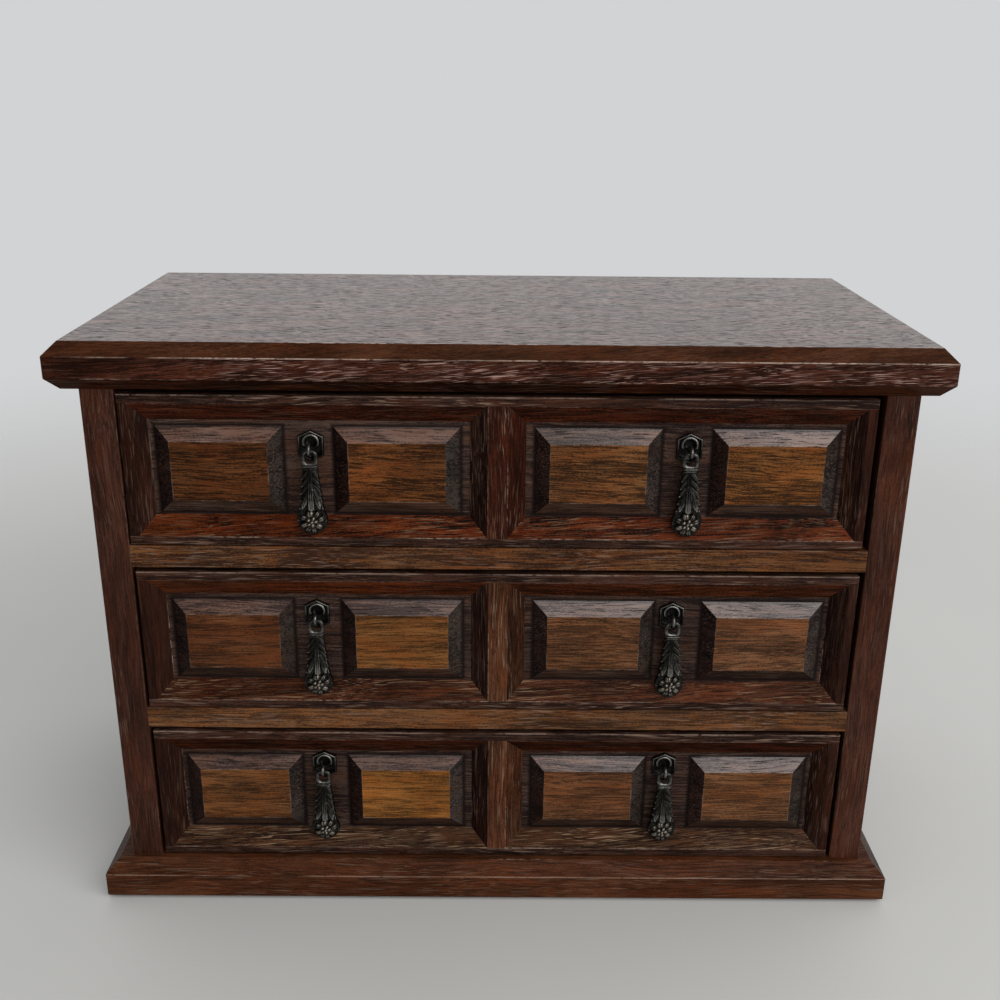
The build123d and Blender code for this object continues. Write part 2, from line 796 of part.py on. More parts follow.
# Winding key behind the back panel: a hub on the arbor and a flat wing with two holes
with BuildPart() as winding_key:
    with BuildSketch(movement.offset(key_start - key_hub_length)):
        Circle(key_hub_radius)
    extrude(amount=key_hub_length)
    wing_y = bedplate_y - key_start + key_hub_length - key_wing_root + key_wing_length / 2
    wing_plane = Plane(origin=(key_x, wing_y, movement_z - key_wing_thickness / 2), z_dir=(0, 0, 1))
    with BuildSketch(wing_plane):
        RectangleRounded(key_wing_width, key_wing_length, key_wing_corner)
        with Locations((-key_wing_width / 4, 0), (key_wing_width / 4, 0)):
            Circle(key_wing_hole, mode=Mode.SUBTRACT)
    extrude(amount=key_wing_thickness)
    with BuildSketch(movement.offset(key_start)):
        Circle(arbor_radius)
    extrude(amount=-key_socket, mode=Mode.SUBTRACT)
save(winding_key.part, "winding_key")

# Music cylinder: pinned barrel, pinion, large gear and spindle in one piece
pinion_left = crown_radius - pinion_width / 2
with BuildPart() as cylinder:
    with BuildSketch(across(cylinder_left, 0, cylinder_h)):
        Circle(cylinder_radius)
    extrude(amount=cylinder_length)
    with BuildSketch(across(pinion_left, 0, cylinder_h)):
        Circle(spindle_radius)
    extrude(amount=bracket_left + bracket_thickness + gear_gap - pinion_left)
    with BuildSketch(across(pinion_left, 0, cylinder_h)):
        with BuildLine():
            tip = pinion_radius + crown_tooth_height / 2 - tooth_clearance
            root = pinion_radius - crown_tooth_height / 2 - tooth_clearance
            Polyline(*gear_outline(pinion_teeth, tip, root, 0), close=True)
        make_face()
    extrude(amount=pinion_width)
    with BuildSketch(across(cylinder_gear_left, 0, cylinder_h)):
        with BuildLine():
            tip, root = gear_radii(module_governor, cylinder_gear_teeth)
            Polyline(*gear_outline(cylinder_gear_teeth, tip, root, -90), close=True)
        make_face()
    extrude(amount=cylinder_gear_width)
    first_note = cylinder_left + (cylinder_length - (note_count - 1) * note_pitch) / 2
    for note in range(note_count):
        note_x = key_x + first_note + note * note_pitch
        for pin in range(pins_per_note):
            turn = 2 * pi * (note * pin_advance + pin / pins_per_note)
            pin_plane = Plane(
                origin=(note_x, bedplate_y - cylinder_h, movement_z),
                x_dir=(1, 0, 0),
                z_dir=(0, cos(turn), sin(turn)),
            )
            with BuildSketch(pin_plane.offset(cylinder_radius - cylinder_pin_height)):
                Circle(cylinder_pin_radius)
            extrude(amount=2 * cylinder_pin_height)
save(cylinder.part, "music_cylinder")

# Tone comb: one steel plate slotted into tuned teeth, longest at the bass end
with BuildPart() as comb:
    low = (cylinder_left, comb_low, pedestal_height)
    movement_block(low, (cylinder_right, comb_high, pedestal_height + comb_thickness))
    for note in range(note_count - 1):
        slot_x = first_note + (note + 0.5) * note_pitch
        share = note / (note_count - 2)
        slot_length = comb_tooth_bass + share * (comb_tooth_treble - comb_tooth_bass)
        low = (slot_x - comb_slot / 2, comb_low, pedestal_height)
        high = (slot_x + comb_slot / 2, comb_low + slot_length, pedestal_height + comb_thickness)
        movement_block(low, high, Mode.SUBTRACT)
    with BuildSketch(movement.offset(pedestal_height)):
        with Locations(*comb_screws):
            Circle(screw_shank)
    extrude(amount=comb_thickness, mode=Mode.SUBTRACT)
save(comb.part, "tone_comb")

# Governor bracket: a foot and two cheeks that carry three spindles, with the lever's ear
cheek_high = post_half_height
cheek_low = -bedplate_below
cheek_top = cylinder_h + bracket_head
ear_up = -fly_drop - lever_thickness / 2 - running_clearance
ear_front = cheek_top + ear_plate_forward
lever_pin_x = bracket_right + ear_plate_reach - lever_pin_inset
lever_pin_h = ear_front - lever_pin_inset + lever_pin_radius
with BuildPart() as bracket:
    movement_block((bracket_left, cheek_low, 0), (bracket_right, cheek_high, bracket_foot))
    movement_block((bracket_left, cheek_low, 0), (bracket_left + bracket_thickness, cheek_high, cheek_top))
    movement_block((bracket_right - bracket_thickness, cheek_low, 0), (bracket_right, cheek_high, cheek_top))
    low = (bracket_right, ear_up - ear_plate_thickness, ear_front - ear_plate_depth)
    movement_block(low, (bracket_right + ear_plate_reach, ear_up, ear_front))
    pin_plane = Plane(origin=(key_x + lever_pin_x, bedplate_y - lever_pin_h, movement_z + ear_up))
    with BuildSketch(pin_plane):
        Circle(lever_pin_radius)
    extrude(amount=lever_thickness + lever_pin_head)
    with BuildSketch(across(bracket_left, 0, cylinder_h)):
        Circle(spindle_radius + clearance)
        with Locations((0, -governor_pinion_drop)):
            Circle(governor_arbor_radius + clearance)
        with Locations((0, -fly_drop)):
            Circle(fly_arbor_radius + clearance)
    extrude(amount=bracket_thickness, mode=Mode.SUBTRACT)
    with BuildSketch(across(bracket_right - bracket_thickness, 0, cylinder_h)):
        with Locations((0, -governor_pinion_drop)):
            Circle(governor_arbor_radius + clearance)
        with Locations((0, -fly_drop)):
            Circle(fly_arbor_radius + clearance)
    extrude(amount=bracket_thickness, mode=Mode.SUBTRACT)
    with BuildSketch(movement):
        with Locations(*foot_screws):
            Circle(screw_shank)
    extrude(amount=bracket_foot, mode=Mode.SUBTRACT)
save(bracket.part, "governor_bracket")


# Governor wheel: small pinion and large wheel on one arbor
with BuildPart() as governor_wheel:
    arbor_start = cylinder_gear_left - running_clearance
    with BuildSketch(across(arbor_start, -governor_pinion_drop, cylinder_h)):
        Circle(governor_arbor_radius)
    extrude(amount=bracket_right + gear_gap - arbor_start)
    with BuildSketch(across(arbor_start, -governor_pinion_drop, cylinder_h)):
        with BuildLine():
            tip, root = gear_radii(module_governor, small_pinion_teeth)
            Polyline(*gear_outline(small_pinion_teeth, tip, root, 180 / small_pinion_teeth), close=True)
        make_face()
    extrude(amount=cylinder_gear_width + 2 * running_clearance)
    with BuildSketch(across(governor_wheel_left, -governor_pinion_drop, cylinder_h)):
        with BuildLine():
            tip, root = gear_radii(module_fly, governor_teeth)
            Polyline(*gear_outline(governor_teeth, tip, root, -90), close=True)
        make_face()
    extrude(amount=governor_wheel_width)
save(governor_wheel.part, "governor_wheel")

# Air brake: fly pinion and a two-vaned fan between the cheeks
fan_left = bracket_left + (bracket_span - fly_length) / 2
with BuildPart() as air_brake:
    arbor_start = governor_wheel_left - running_clearance
    with BuildSketch(across(arbor_start, -fly_drop, cylinder_h)):
        Circle(fly_arbor_radius)
    extrude(amount=bracket_right + gear_gap - arbor_start)
    with BuildSketch(across(arbor_start, -fly_drop, cylinder_h)):
        with BuildLine():
            tip, root = gear_radii(module_fly, small_pinion_teeth)
            Polyline(*gear_outline(small_pinion_teeth, tip, root, 180 / small_pinion_teeth), close=True)
        make_face()
    extrude(amount=governor_wheel_width + 2 * running_clearance)
    with BuildSketch(across(fan_left, -fly_drop, cylinder_h)):
        Circle(fly_hub_radius)
        Rectangle(2 * fly_radius, fly_vane)
    extrude(amount=fly_length)
save(air_brake.part, "air_brake")

# Stop lever: swings on the ear's pin and rests on the top drawer's back
nose_h = drawer_back_h - stop_clearance
arm_front_h = lever_back_h + lever_width
with BuildPart() as stop_lever:
    lever_z = movement_z + ear_up + running_clearance
    arm_end_x = lever_pin_x - lever_arm
    arm_corners = [
        (arm_end_x, lever_back_h),
        (lever_pin_x + lever_width / 2, lever_back_h),
        (lever_pin_x + lever_width / 2, arm_front_h),
        (arm_end_x + 2 * lever_width, arm_front_h),
        (arm_end_x + lever_width + lever_nose_width, nose_h),
        (arm_end_x + lever_width, nose_h),
        (arm_end_x, arm_front_h),
    ]
    with BuildSketch(Plane(origin=(key_x, bedplate_y, lever_z))):
        with BuildLine():
            Polyline(*[(x, -h) for x, h in arm_corners], close=True)
        make_face()
        with Locations((lever_pin_x, -lever_pin_h)):
            Circle(lever_hub_radius)
        stem_length = lever_back_h - lever_pin_h + lever_width / 2
        with Locations((lever_pin_x, -lever_pin_h - stem_length / 2)):
            Rectangle(lever_width, stem_length)
        with Locations((lever_pin_x, -lever_pin_h)):
            Circle(lever_pin_radius + clearance, mode=Mode.SUBTRACT)
    extrude(amount=lever_thickness)
save(stop_lever.part, "stop_lever")


def screws(node, groups, shank, length, head_radius, head_height, toward_front):
    """Slotted pan-head screws, each group driven from its seat plane into what lies behind it."""
    along = 1 if toward_front else -1
    with BuildPart() as screw_set:
        for places, seat in groups:
            with BuildSketch(seat):
                with Locations(*places):
                    Circle(shank)
            extrude(amount=-along * length)
            with BuildSketch(seat):
                with Locations(*places):
                    Circle(head_radius)
            extrude(amount=along * head_height)
            with BuildSketch(seat.offset(along * head_height)):
                with Locations(*places):
                    Rectangle(2 * head_radius, screw_slot)
            extrude(amount=-along * head_height / 2, mode=Mode.SUBTRACT)
    save(screw_set.part, node)


# Small screws of the movement, all alike: housing ears, comb and bracket foot
small_screws = [
    (ear_screws, movement.offset(ear_thickness)),
    (comb_screws, movement.offset(pedestal_height + comb_thickness)),
    (foot_screws, movement.offset(bracket_foot)),
]
small_head = (screw_head_radius, screw_head_height)
screws("movement_screws", small_screws, screw_shank, screw_length, *small_head, True)

# Longer screws that hold the bedplate, driven from outside through the back panel
long_screws = [(mount_screw_places, movement.offset(-bedplate_thickness - back_thickness))]
long_length = back_thickness + mount_screw_bite
long_head = (mount_screw_head_radius, mount_screw_head_height)
screws("mounting_screws", long_screws, mount_screw_shank, long_length, *long_head, False)

# Stop blocks glued behind the top drawer
with BuildPart() as drawer_stops:
    stop_y = top_drawer_back_y + stop_clearance
    stop_z = floor_z(drawer_count - 1)
    for side in (-1, 1):
        stop_x = side * inner_width / 3
        low = (stop_x - stop_block / 2, stop_y, stop_z)
        block(low, (stop_x + stop_block / 2, stop_y + stop_block, stop_z + stop_block_height))
save(drawer_stops.part, "drawer_stops")
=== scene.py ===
import json

import bpy
import numpy as np
from mathutils import Matrix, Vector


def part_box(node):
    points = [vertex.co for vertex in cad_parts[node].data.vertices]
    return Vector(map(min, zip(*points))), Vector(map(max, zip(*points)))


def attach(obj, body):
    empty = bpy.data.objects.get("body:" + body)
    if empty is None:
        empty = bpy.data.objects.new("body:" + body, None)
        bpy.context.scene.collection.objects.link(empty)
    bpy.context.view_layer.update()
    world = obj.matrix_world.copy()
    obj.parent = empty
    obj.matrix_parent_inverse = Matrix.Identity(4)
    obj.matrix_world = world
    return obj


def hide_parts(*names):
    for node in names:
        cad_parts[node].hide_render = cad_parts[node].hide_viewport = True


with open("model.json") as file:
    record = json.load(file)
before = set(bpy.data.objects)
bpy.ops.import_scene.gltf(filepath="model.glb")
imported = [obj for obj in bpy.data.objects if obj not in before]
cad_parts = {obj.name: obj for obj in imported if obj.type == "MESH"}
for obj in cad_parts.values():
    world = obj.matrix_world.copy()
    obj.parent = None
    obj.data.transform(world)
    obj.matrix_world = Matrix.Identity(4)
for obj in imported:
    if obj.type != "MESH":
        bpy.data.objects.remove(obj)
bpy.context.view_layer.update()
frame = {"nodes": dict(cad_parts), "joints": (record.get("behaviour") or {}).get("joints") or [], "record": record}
scene = bpy.context.scene
scene.view_settings.view_transform = "Standard"

# Camera: it stands where the photograph was taken from, 0.36 m in front of the drawers and 80 mm
# above the top board, and looks down 20 degrees.
pitch, yaw, roll = np.radians([20.168, 0.343, 0.562])
forward = np.array([np.sin(yaw) * np.cos(pitch), np.cos(yaw) * np.cos(pitch), -np.sin(pitch)])
level_right = np.array([np.cos(yaw), -np.sin(yaw), 0.0])
level_up = np.cross(level_right, forward)
camera_place = np.eye(4)
camera_place[:3, 0] = level_right * np.cos(roll) + level_up * np.sin(roll)
camera_place[:3, 1] = level_up * np.cos(roll) - level_right * np.sin(roll)
camera_place[:3, 2] = -forward
camera_place[:3, 3] = (-0.00214, -0.42975, 0.29213)
camera_data = bpy.data.cameras.new("camera")
camera_data.sensor_width = 36.0
camera_data.lens = 41.925
camera = bpy.data.objects.new("camera", camera_data)
camera.matrix_world = Matrix(camera_place.tolist())
scene.collection.objects.link(camera)
scene.camera = camera


# Room: a broad window lights the front from above and from the right. The room all round
# is dim, and the wall behind is pale, and shows as the background and in the lacquer.
def feed(node, inputs):
    """Give a node's input sockets values, or links from other sockets."""
    for key, value in inputs.items():
        if isinstance(value, bpy.types.NodeSocket):
            node.id_data.links.new(value, node.inputs[key])
        else:
            node.inputs[key].default_value = value


def wire(tree, kind, inputs=None, **settings):
    """New node of a kind, with its settings and inputs."""
    node = tree.nodes.new(kind)
    for name, value in settings.items():
        setattr(node, name, value)
    feed(node, inputs or {})
    return node


def maths(tree, operation, *values):
    """Output of a Math node on up to three numbers or sockets."""
    return wire(tree, "ShaderNodeMath", dict(enumerate(values)), operation=operation).outputs[0]


def ranged(tree, value, low, high, to_low=0.0, to_high=1.0):
    """Output of a Map Range node: low to high becomes to_low to to_high, held beyond both ends."""
    return wire(tree, "ShaderNodeMapRange", {0: value, 1: low, 2: high, 3: to_low, 4: to_high}).outputs[0]


def area_lamp(name, place, aim, width, height, power):
    """Oblong lamp at a place, turned to face the aim point, its long side level."""
    lamp = bpy.data.lights.new(name, "AREA")
    lamp.shape = "RECTANGLE"
    lamp.size, lamp.size_y = width, height
    lamp.energy = power
    holder = bpy.data.objects.new(name, lamp)
    back = np.subtract(place, aim)
    back = back / np.linalg.norm(back)
    side = np.cross((0.0, 0.0, 1.0), back)
    side = side / np.linalg.norm(side)
    turn = np.eye(4)
    turn[:3, 0], turn[:3, 1], turn[:3, 2], turn[:3, 3] = side, np.cross(back, side), back, place
    holder.matrix_world = Matrix(turn.tolist())
    holder.visible_camera = False
    scene.collection.objects.link(holder)


area_lamp("window_lamp", (0.78, -1.0, 0.84), (0.0, 0.0, 0.08), 1.8, 0.8, 17.5)

room = bpy.data.worlds.new("room")
scene.world = room
room.use_nodes = True
sky = room.node_tree
sky.nodes.clear()
facing = wire(sky, "ShaderNodeTexCoord").outputs["Generated"]
facing = wire(sky, "ShaderNodeSeparateXYZ", {0: facing}).outputs
even = maths(sky, "MULTIPLY", ranged(sky, facing["Y"], -0.5, 0.5, 0.62, 1.1),
             ranged(sky, facing["X"], -0.8, 0.8, 0.8, 1.12))
behind = ranged(sky, facing["Y"], -0.1, 0.6)
low_down = ranged(sky, facing["Z"], 0.35, 0.75, 1.0, 0.0)
beside = ranged(sky, facing["X"], 0.2, 0.9, 0.05, 0.25)
mirrored = maths(sky, "MULTIPLY_ADD", behind, low_down, beside)
rays = wire(sky, "ShaderNodeLightPath").outputs
glow = wire(sky, "ShaderNodeMix", {0: rays["Is Glossy Ray"], 2: even, 3: mirrored}).outputs[0]
dim = wire(sky, "ShaderNodeBackground", {"Color": (0.98, 0.99, 1.0, 1), "Strength": glow}).outputs[0]
wall = wire(sky, "ShaderNodeBackground", {"Color": (0.645, 0.65, 0.66, 1), "Strength": 1.0}).outputs[0]
seen = wire(sky, "ShaderNodeMixShader", {0: rays["Is Camera Ray"], 1: dim, 2: wall}).outputs[0]
wire(sky, "ShaderNodeOutputWorld", {0: seen})


# Floor: a pale grey table top, hardly mottled, that the chest stands on. It is wide enough for
# every view, and fades into the wall far out.
def skin(points, last=True, ring=False, worn=0.0, bronze=0.0):
    """Corners, faces and finish of a grid of points, rows x columns x 3, whose rows each close on
    themselves. With ring the last row meets the first. Otherwise a fan of triangles closes the
    first row, and with last the last row too. The faces are turned round if their cones to the
    origin add up to a negative volume."""
    rows, columns = points.shape[:2]
    here = np.arange(rows * columns).reshape(rows, columns)
    right = np.roll(here, -1, axis=1)
    quads = np.stack([here, right, np.roll(right, -1, axis=0), np.roll(here, -1, axis=0)], axis=-1)
    quads = quads[:rows if ring else rows - 1].reshape(-1, 4)
    faces, triangles = quads.tolist(), [quads[:, :3], quads[:, [0, 2, 3]]]
    finish = np.stack(np.broadcast_arrays(worn, bronze, np.zeros((rows, columns)))[:2], axis=-1)
    corners, finish = [points.reshape(-1, 3)], [finish.reshape(-1, 2)]
    for wanted, row, turned in ((not ring, 0, -1), (last and not ring, rows - 1, 1)):
        if wanted:
            middle = np.full(columns, sum(len(part) for part in corners))
            triangles.append(np.stack([here[row], right[row], middle], axis=-1)[:, ::turned])
            faces += triangles[-1].tolist()
            corners.append(points[row].mean(axis=0, keepdims=True))
            finish.append(finish[0][here[row]].mean(axis=0, keepdims=True))
    corners = np.concatenate(corners)
    one, two, three = (corners[np.concatenate(triangles)[:, place]] for place in range(3))
    if np.sum(one * np.cross(two, three)) < 0:
        faces = [face[::-1] for face in faces]
    return corners, faces, np.concatenate(finish)


def smooth_piece(name, skins, material):
    """One smooth-shaded object from several skins, with how worn and how bronze each point is. On
    the castings, worn holds worn finish together with painted highlight.
    """
    starts = np.cumsum([0] + [len(corners) for corners, faces, finish in skins])
    faces = [[corner + start for corner in face]
             for start, (corners, faces, finish) in zip(starts.tolist(), skins) for face in faces]
    mesh = bpy.data.meshes.new(name)
    mesh.from_pydata(np.concatenate([corners for corners, _, _ in skins]).tolist(), [], faces)
    for column, label in enumerate(("worn", "bronze")):
        values = np.concatenate([finish[:, column] for _, _, finish in skins]).astype(np.float32)
        mesh.attributes.new(label, "FLOAT", "POINT").data.foreach_set("value", values)
    mesh.polygons.foreach_set("use_smooth", np.ones(len(mesh.polygons), bool))
    mesh.materials.append(material)
    mesh.validate()
    piece = bpy.data.objects.new(name, mesh)
    scene.collection.objects.link(piece)
    return piece


def new_material(name):
    """Empty node material: its tree, its Principled shader and its Object coordinates."""
    material = bpy.data.materials.new(name)
    material.use_nodes = True
    tree = material.node_tree
    tree.nodes.clear()
    shader = wire(tree, "ShaderNodeBsdfPrincipled")
    wire(tree, "ShaderNodeOutputMaterial", {0: shader.outputs[0]})
    coordinates = wire(tree, "ShaderNodeTexCoord").outputs["Object"]
    return material, tree, shader, coordinates


def noise(tree, vector, scale, detail):
    """Noise of about so many spots to the unit, with so much finer detail."""
    return wire(tree, "ShaderNodeTexNoise", {"Vector": vector, "Scale": scale,
                                             "Detail": detail}).outputs["Fac"]


def mixed(tree, share, first, second, blend="MIX"):
    """Colour that goes from the first to the second, or blends them in another way, by a share."""
    return wire(tree, "ShaderNodeMix", {0: share, 6: first, 7: second}, data_type="RGBA",
                blend_type=blend).outputs[2]


table_top, tree, shader, coordinates = new_material("table_top")
tone = mixed(tree, noise(tree, coordinates, 9.0, 3.0), (0.48, 0.475, 0.46, 1), (0.51, 0.505, 0.485, 1))
feed(shader, {"Base Color": tone, "Roughness": 0.7})
far = wire(tree, "ShaderNodeVectorMath", {0: coordinates}, operation="LENGTH").outputs["Value"]
fade = wire(tree, "ShaderNodeMapRange", {0: far, 1: 0.28, 2: 0.95},
            interpolation_type="SMOOTHSTEP").outputs[0]
clear = wire(tree, "ShaderNodeBsdfTransparent").outputs[0]
edge = wire(tree, "ShaderNodeMixShader", {0: fade, 1: shader.outputs[0], 2: clear}).outputs[0]
feed(tree.nodes["Material Output"], {0: edge})
angle = np.linspace(0, 2 * np.pi, 96, endpoint=False)
spread = np.array([0.002, 0.4, 1.0, 2.0, 6.0])
disc = np.stack([np.outer(spread, np.cos(angle)), np.outer(spread, np.sin(angle)),
                 np.zeros((len(spread), len(angle)))], axis=-1)
floor = smooth_piece("floor", [skin(disc, last=False)], table_top)


# Base board: dark-stained open-grained wood under satin lacquer, worked from one board with the
# grain running across. Its broad bevel is rubbed through in front, and its ends are stained evenly.
def node_group(name, inputs, outputs):
    """New node group with named sockets of the given kinds, and what comes in through them."""
    group = bpy.data.node_groups.new(name, "ShaderNodeTree")
    for kinds, way in ((inputs, "INPUT"), (outputs, "OUTPUT")):
        for socket, kind in kinds.items():
            group.interface.new_socket(socket, in_out=way, socket_type="NodeSocket" + kind)
    return group, wire(group, "NodeGroupInput").outputs


def vectors(tree, operation, first, second):
    """Vector that an operation makes of two others."""
    return wire(tree, "ShaderNodeVectorMath", {0: first, 1: second}, operation=operation).outputs[0]


def wood_grain():
    """Node group of stained open-grained wood. Its Vector runs along the grain in X, in metres.
    Tone is a sum of noises drawn out along the grain, in bands, streaks and fine lines, and broad
    patches of stain make it darker or brighter. Dark pores and pale flecks are the peaks of two
    more. Size makes them all coarser, and Short makes them shorter."""
    group, given = node_group(
        "wood_grain", {"Vector": "Vector", "Pale": "Color", "Deep": "Color", "Fleck Color": "Color",
                       "Size": "Float", "Short": "Float", "Contrast": "Float", "Pores": "Float",
                       "Flecks": "Float"},
        {"Color": "Color", "Roughness": "Float", "Height": "Float", "Gloss": "Float"})
    inverse = maths(group, "DIVIDE", 1.0, given["Size"])
    sized = wire(group, "ShaderNodeVectorMath", {0: given["Vector"], "Scale": inverse},
                 operation="SCALE").outputs[0]
    shorter = wire(group, "ShaderNodeCombineXYZ", {0: given["Short"], 1: 1.0, 2: 1.0}).outputs[0]
    sized = vectors(group, "MULTIPLY", sized, shorter)
    sway = wire(group, "ShaderNodeMapping", {"Vector": sized, "Scale": (12, 30, 30)}).outputs[0]
    sway = wire(group, "ShaderNodeTexNoise", {"Vector": sway, "Scale": 1.0, "Detail": 2.0}).outputs["Color"]
    bend = vectors(group, "MULTIPLY", vectors(group, "SUBTRACT", sway, (0.5, 0.5, 0.5)), (0.0, 0.008, 0.008))
    bent = vectors(group, "ADD", sized, bend)

    def spots(along, across, low, high, to_low=0.0, to_high=1.0, detail=2.0):
        """Noise with so many spots to the metre along and across the grain, ranged."""
        mapped = wire(group, "ShaderNodeMapping", {"Vector": bent, "Scale": (along, across, across)})
        return ranged(group, noise(group, mapped.outputs[0], 1.0, detail), low, high, to_low, to_high)

    def sums(value, weight, rest=0.0):
        """A value times its weight, plus the rest."""
        return maths(group, "MULTIPLY_ADD", value, weight, rest)

    bands = spots(9, 150, 0.3, 0.7, -0.5, 0.5)
    streaks = spots(24, 560, 0.33, 0.67, -0.5, 0.5)
    lines = spots(75, 1900, 0.35, 0.65, -0.5, 0.5)
    specks = spots(1100, 2200, 0.3, 0.7, -0.5, 0.5, detail=1.0)
    figure = sums(bands, 0.6, sums(streaks, 0.5, sums(lines, 0.8, sums(specks, 0.55))))
    share = wire(group, "ShaderNodeClamp", {0: sums(figure, given["Contrast"], 0.5)}).outputs[0]
    redder = mixed(group, 1.0, given["Pale"], (1.05, 0.84, 0.66, 1), "MULTIPLY")
    ruddy = spots(45, 110, 0.42, 0.62)
    colour = mixed(group, share, given["Deep"], mixed(group, ruddy, given["Pale"], redder))
    patches = spots(26, 75, 0.34, 0.66, 0.66, 1.26, detail=3.0)
    colour = mixed(group, 1.0, colour, patches, "MULTIPLY")
    pores = sums(spots(120, 2700, 0.57, 0.67, detail=1.0), given["Pores"])
    colour = mixed(group, pores, colour, (0.004, 0.002, 0.0015, 1))
    fleck = sums(spots(85, 2600, 0.58, 0.67, detail=1.0), spots(22, 110, 0.42, 0.60, 0.2))
    colour = mixed(group, sums(fleck, given["Flecks"]), colour, given["Fleck Color"])
    rough = sums(lines, -0.10, sums(pores, 0.35, 0.38))
    height = sums(pores, -1.0, sums(lines, 0.4))
    gloss = sums(specks, 0.35, sums(lines, 0.35, sums(streaks, 0.25, sums(pores, -0.75, 0.9))))
    gloss = wire(group, "ShaderNodeClamp", {0: gloss}).outputs[0]
    wire(group, "NodeGroupOutput", {"Color": colour, "Roughness": rough, "Height": height, "Gloss": gloss})
    return group


def rubbed_edge():
    """Node group of the wear along one straight edge: a mask that falls off over Width from the
    line through Point, whose direction is the axis that is 0 in Across. Coarse and fine noise
    break it up, and a higher Cover leaves fewer gaps."""
    group, given = node_group("rubbed_edge", {"Vector": "Vector", "Point": "Vector", "Across": "Vector",
                                              "Width": "Float", "Cover": "Float"}, {"Mask": "Float"})
    off = vectors(group, "SUBTRACT", given["Vector"], given["Point"])
    off = vectors(group, "MULTIPLY", off, given["Across"])
    off = wire(group, "ShaderNodeVectorMath", {0: off}, operation="LENGTH").outputs["Value"]
    mask = ranged(group, off, 0.0, given["Width"], 1.0, 0.0)
    for scale, detail, least, most in ((45.0, 3.0, 0.46, 0.66), (480.0, 2.0, 0.36, 0.60)):
        filled = maths(group, "ADD", noise(group, given["Vector"], scale, detail), given["Cover"])
        mask = maths(group, "MULTIPLY", mask, ranged(group, filled, least, most))
    wire(group, "NodeGroupOutput", {"Mask": mask})
    return group


grain_group = wood_grain()
edge_group = rubbed_edge()
grain_turns = {"x": (0.0, 0.0, 0.0), "y": (0.0, 0.0, np.pi / 2), "z": (0.0, np.pi / 2, 0.0)}


def raised(tree, height, distance, strength):
    """Normal of a surface that a height raises by up to a distance."""
    return wire(tree, "ShaderNodeBump", {"Height": height, "Distance": distance,
                                         "Strength": strength}).outputs[0]


def wood(name, along, pale, deep, shift, contrast=1.25, pores=0.45, flecks=0.3, fleck=(0.19, 0.125, 0.09),
         size=1.0, short=1.0, lean=0.0, bump=0.00010, edges=(), shine=0.07, coat=0.0,
         rub=(0.26, 0.185, 0.145), fields=None, calm=None):
    """Stained wood with its grain along an axis, or leaning from it by an angle in the plane of the
    front. Shift picks another part of the board, short shortens the figure, shine is the lacquer's
    specular level, coat is a glossier coat that the pores break through, edges are rubbed ones as
    (point, across, width, cover), rub is the colour of the bared wood, and fields is the middle and
    half height of the raised fields whose borders show on this wood. The flecks begin between the
    two places along X that calm gives."""
    material, tree, shader, coordinates = new_material(name)
    if calm:
        along_x = wire(tree, "ShaderNodeSeparateXYZ", {0: coordinates}).outputs["X"]
        flecks = ranged(tree, along_x, calm[0], calm[1], 0.15, flecks)
    turned = wire(tree, "ShaderNodeMapping", {
        "Vector": coordinates, "Location": (shift, 0.37 * shift, 0.71 * shift),
        "Rotation": grain_turns[along] + np.array([0, lean, 0])}).outputs[0]
    grain = wire(tree, "ShaderNodeGroup", {
        "Vector": turned, "Pale": (*pale, 1), "Deep": (*deep, 1), "Fleck Color": (*fleck, 1), "Size": size,
        "Short": short, "Contrast": contrast, "Pores": pores, "Flecks": flecks},
        node_tree=grain_group).outputs
    colour = grain["Color"]
    for point, across, width, cover in edges:
        worn = wire(tree, "ShaderNodeGroup", {"Vector": coordinates, "Point": point, "Across": across,
                                              "Width": width, "Cover": cover}, node_tree=edge_group)
        colour = mixed(tree, worn.outputs["Mask"], colour, (*rub, 1))
    if fields:
        border = wire(tree, "ShaderNodeGroup", {"Vector": coordinates, "Middle": fields[0],
                                                "Half Height": fields[1]}, node_tree=border_group).outputs
        # Painted shade with dirt: a dark line along the fields' outline, where the crack is.
        colour = mixed(tree, border["Crack"], colour, (0.006, 0.003, 0.0025, 1))
        colour = mixed(tree, border["Corner"], colour, (*rub, 1))
    if coat:
        feed(shader, {"Coat Weight": maths(tree, "MULTIPLY", grain["Gloss"], coat), "Coat Roughness": 0.27})
    feed(shader, {"Base Color": colour, "Roughness": grain["Roughness"], "Specular IOR Level": shine,
                  "Normal": raised(tree, grain["Height"], bump, 1.0)})
    return material


def face_finish(node, materials, choose):
    """Give each face of a CAD node one of the materials. Choose gets the faces' middles and
    normals as arrays, and returns the number of the material for each."""
    mesh = frame["nodes"][node].data
    mesh.materials.clear()
    for material in materials:
        mesh.materials.append(material)
    count = len(mesh.polygons)
    middles, normals = np.zeros(count * 3), np.zeros(count * 3)
    mesh.polygons.foreach_get("center", middles)
    mesh.polygons.foreach_get("normal", normals)
    picked = choose(middles.reshape(-1, 3), normals.reshape(-1, 3)).astype(np.int32)
    mesh.polygons.foreach_set("material_index", picked)
    mesh.update()


slots = {row["node"]: row["material_slot"] for row in frame["record"]["subparts"]}
across_x = (0.0, 1.0, 1.0)
low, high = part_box("base_board")
bevel = 0.00465
base_edges = [((0, low.y, high.z - bevel), across_x, 0.0003, 0.12),
              ((0, low.y + bevel, high.z), across_x, 0.0003, -0.05)]
base_wood = wood("base_board_wood", "x", (0.080, 0.0275, 0.0115), (0.031, 0.010, 0.004), 0.43, contrast=0.95,
                 flecks=0.35, edges=base_edges, shine=0.05, rub=(0.25, 0.16, 0.115))
base_ends = wood("base_board_ends", "x", (0.046, 0.017, 0.009), (0.018, 0.006, 0.003), 0.5, contrast=0.7,
                 flecks=0.1)
face_finish("base_board", [base_wood, base_ends], lambda middles, normals: np.abs(normals[:, 0]) > 0.5)


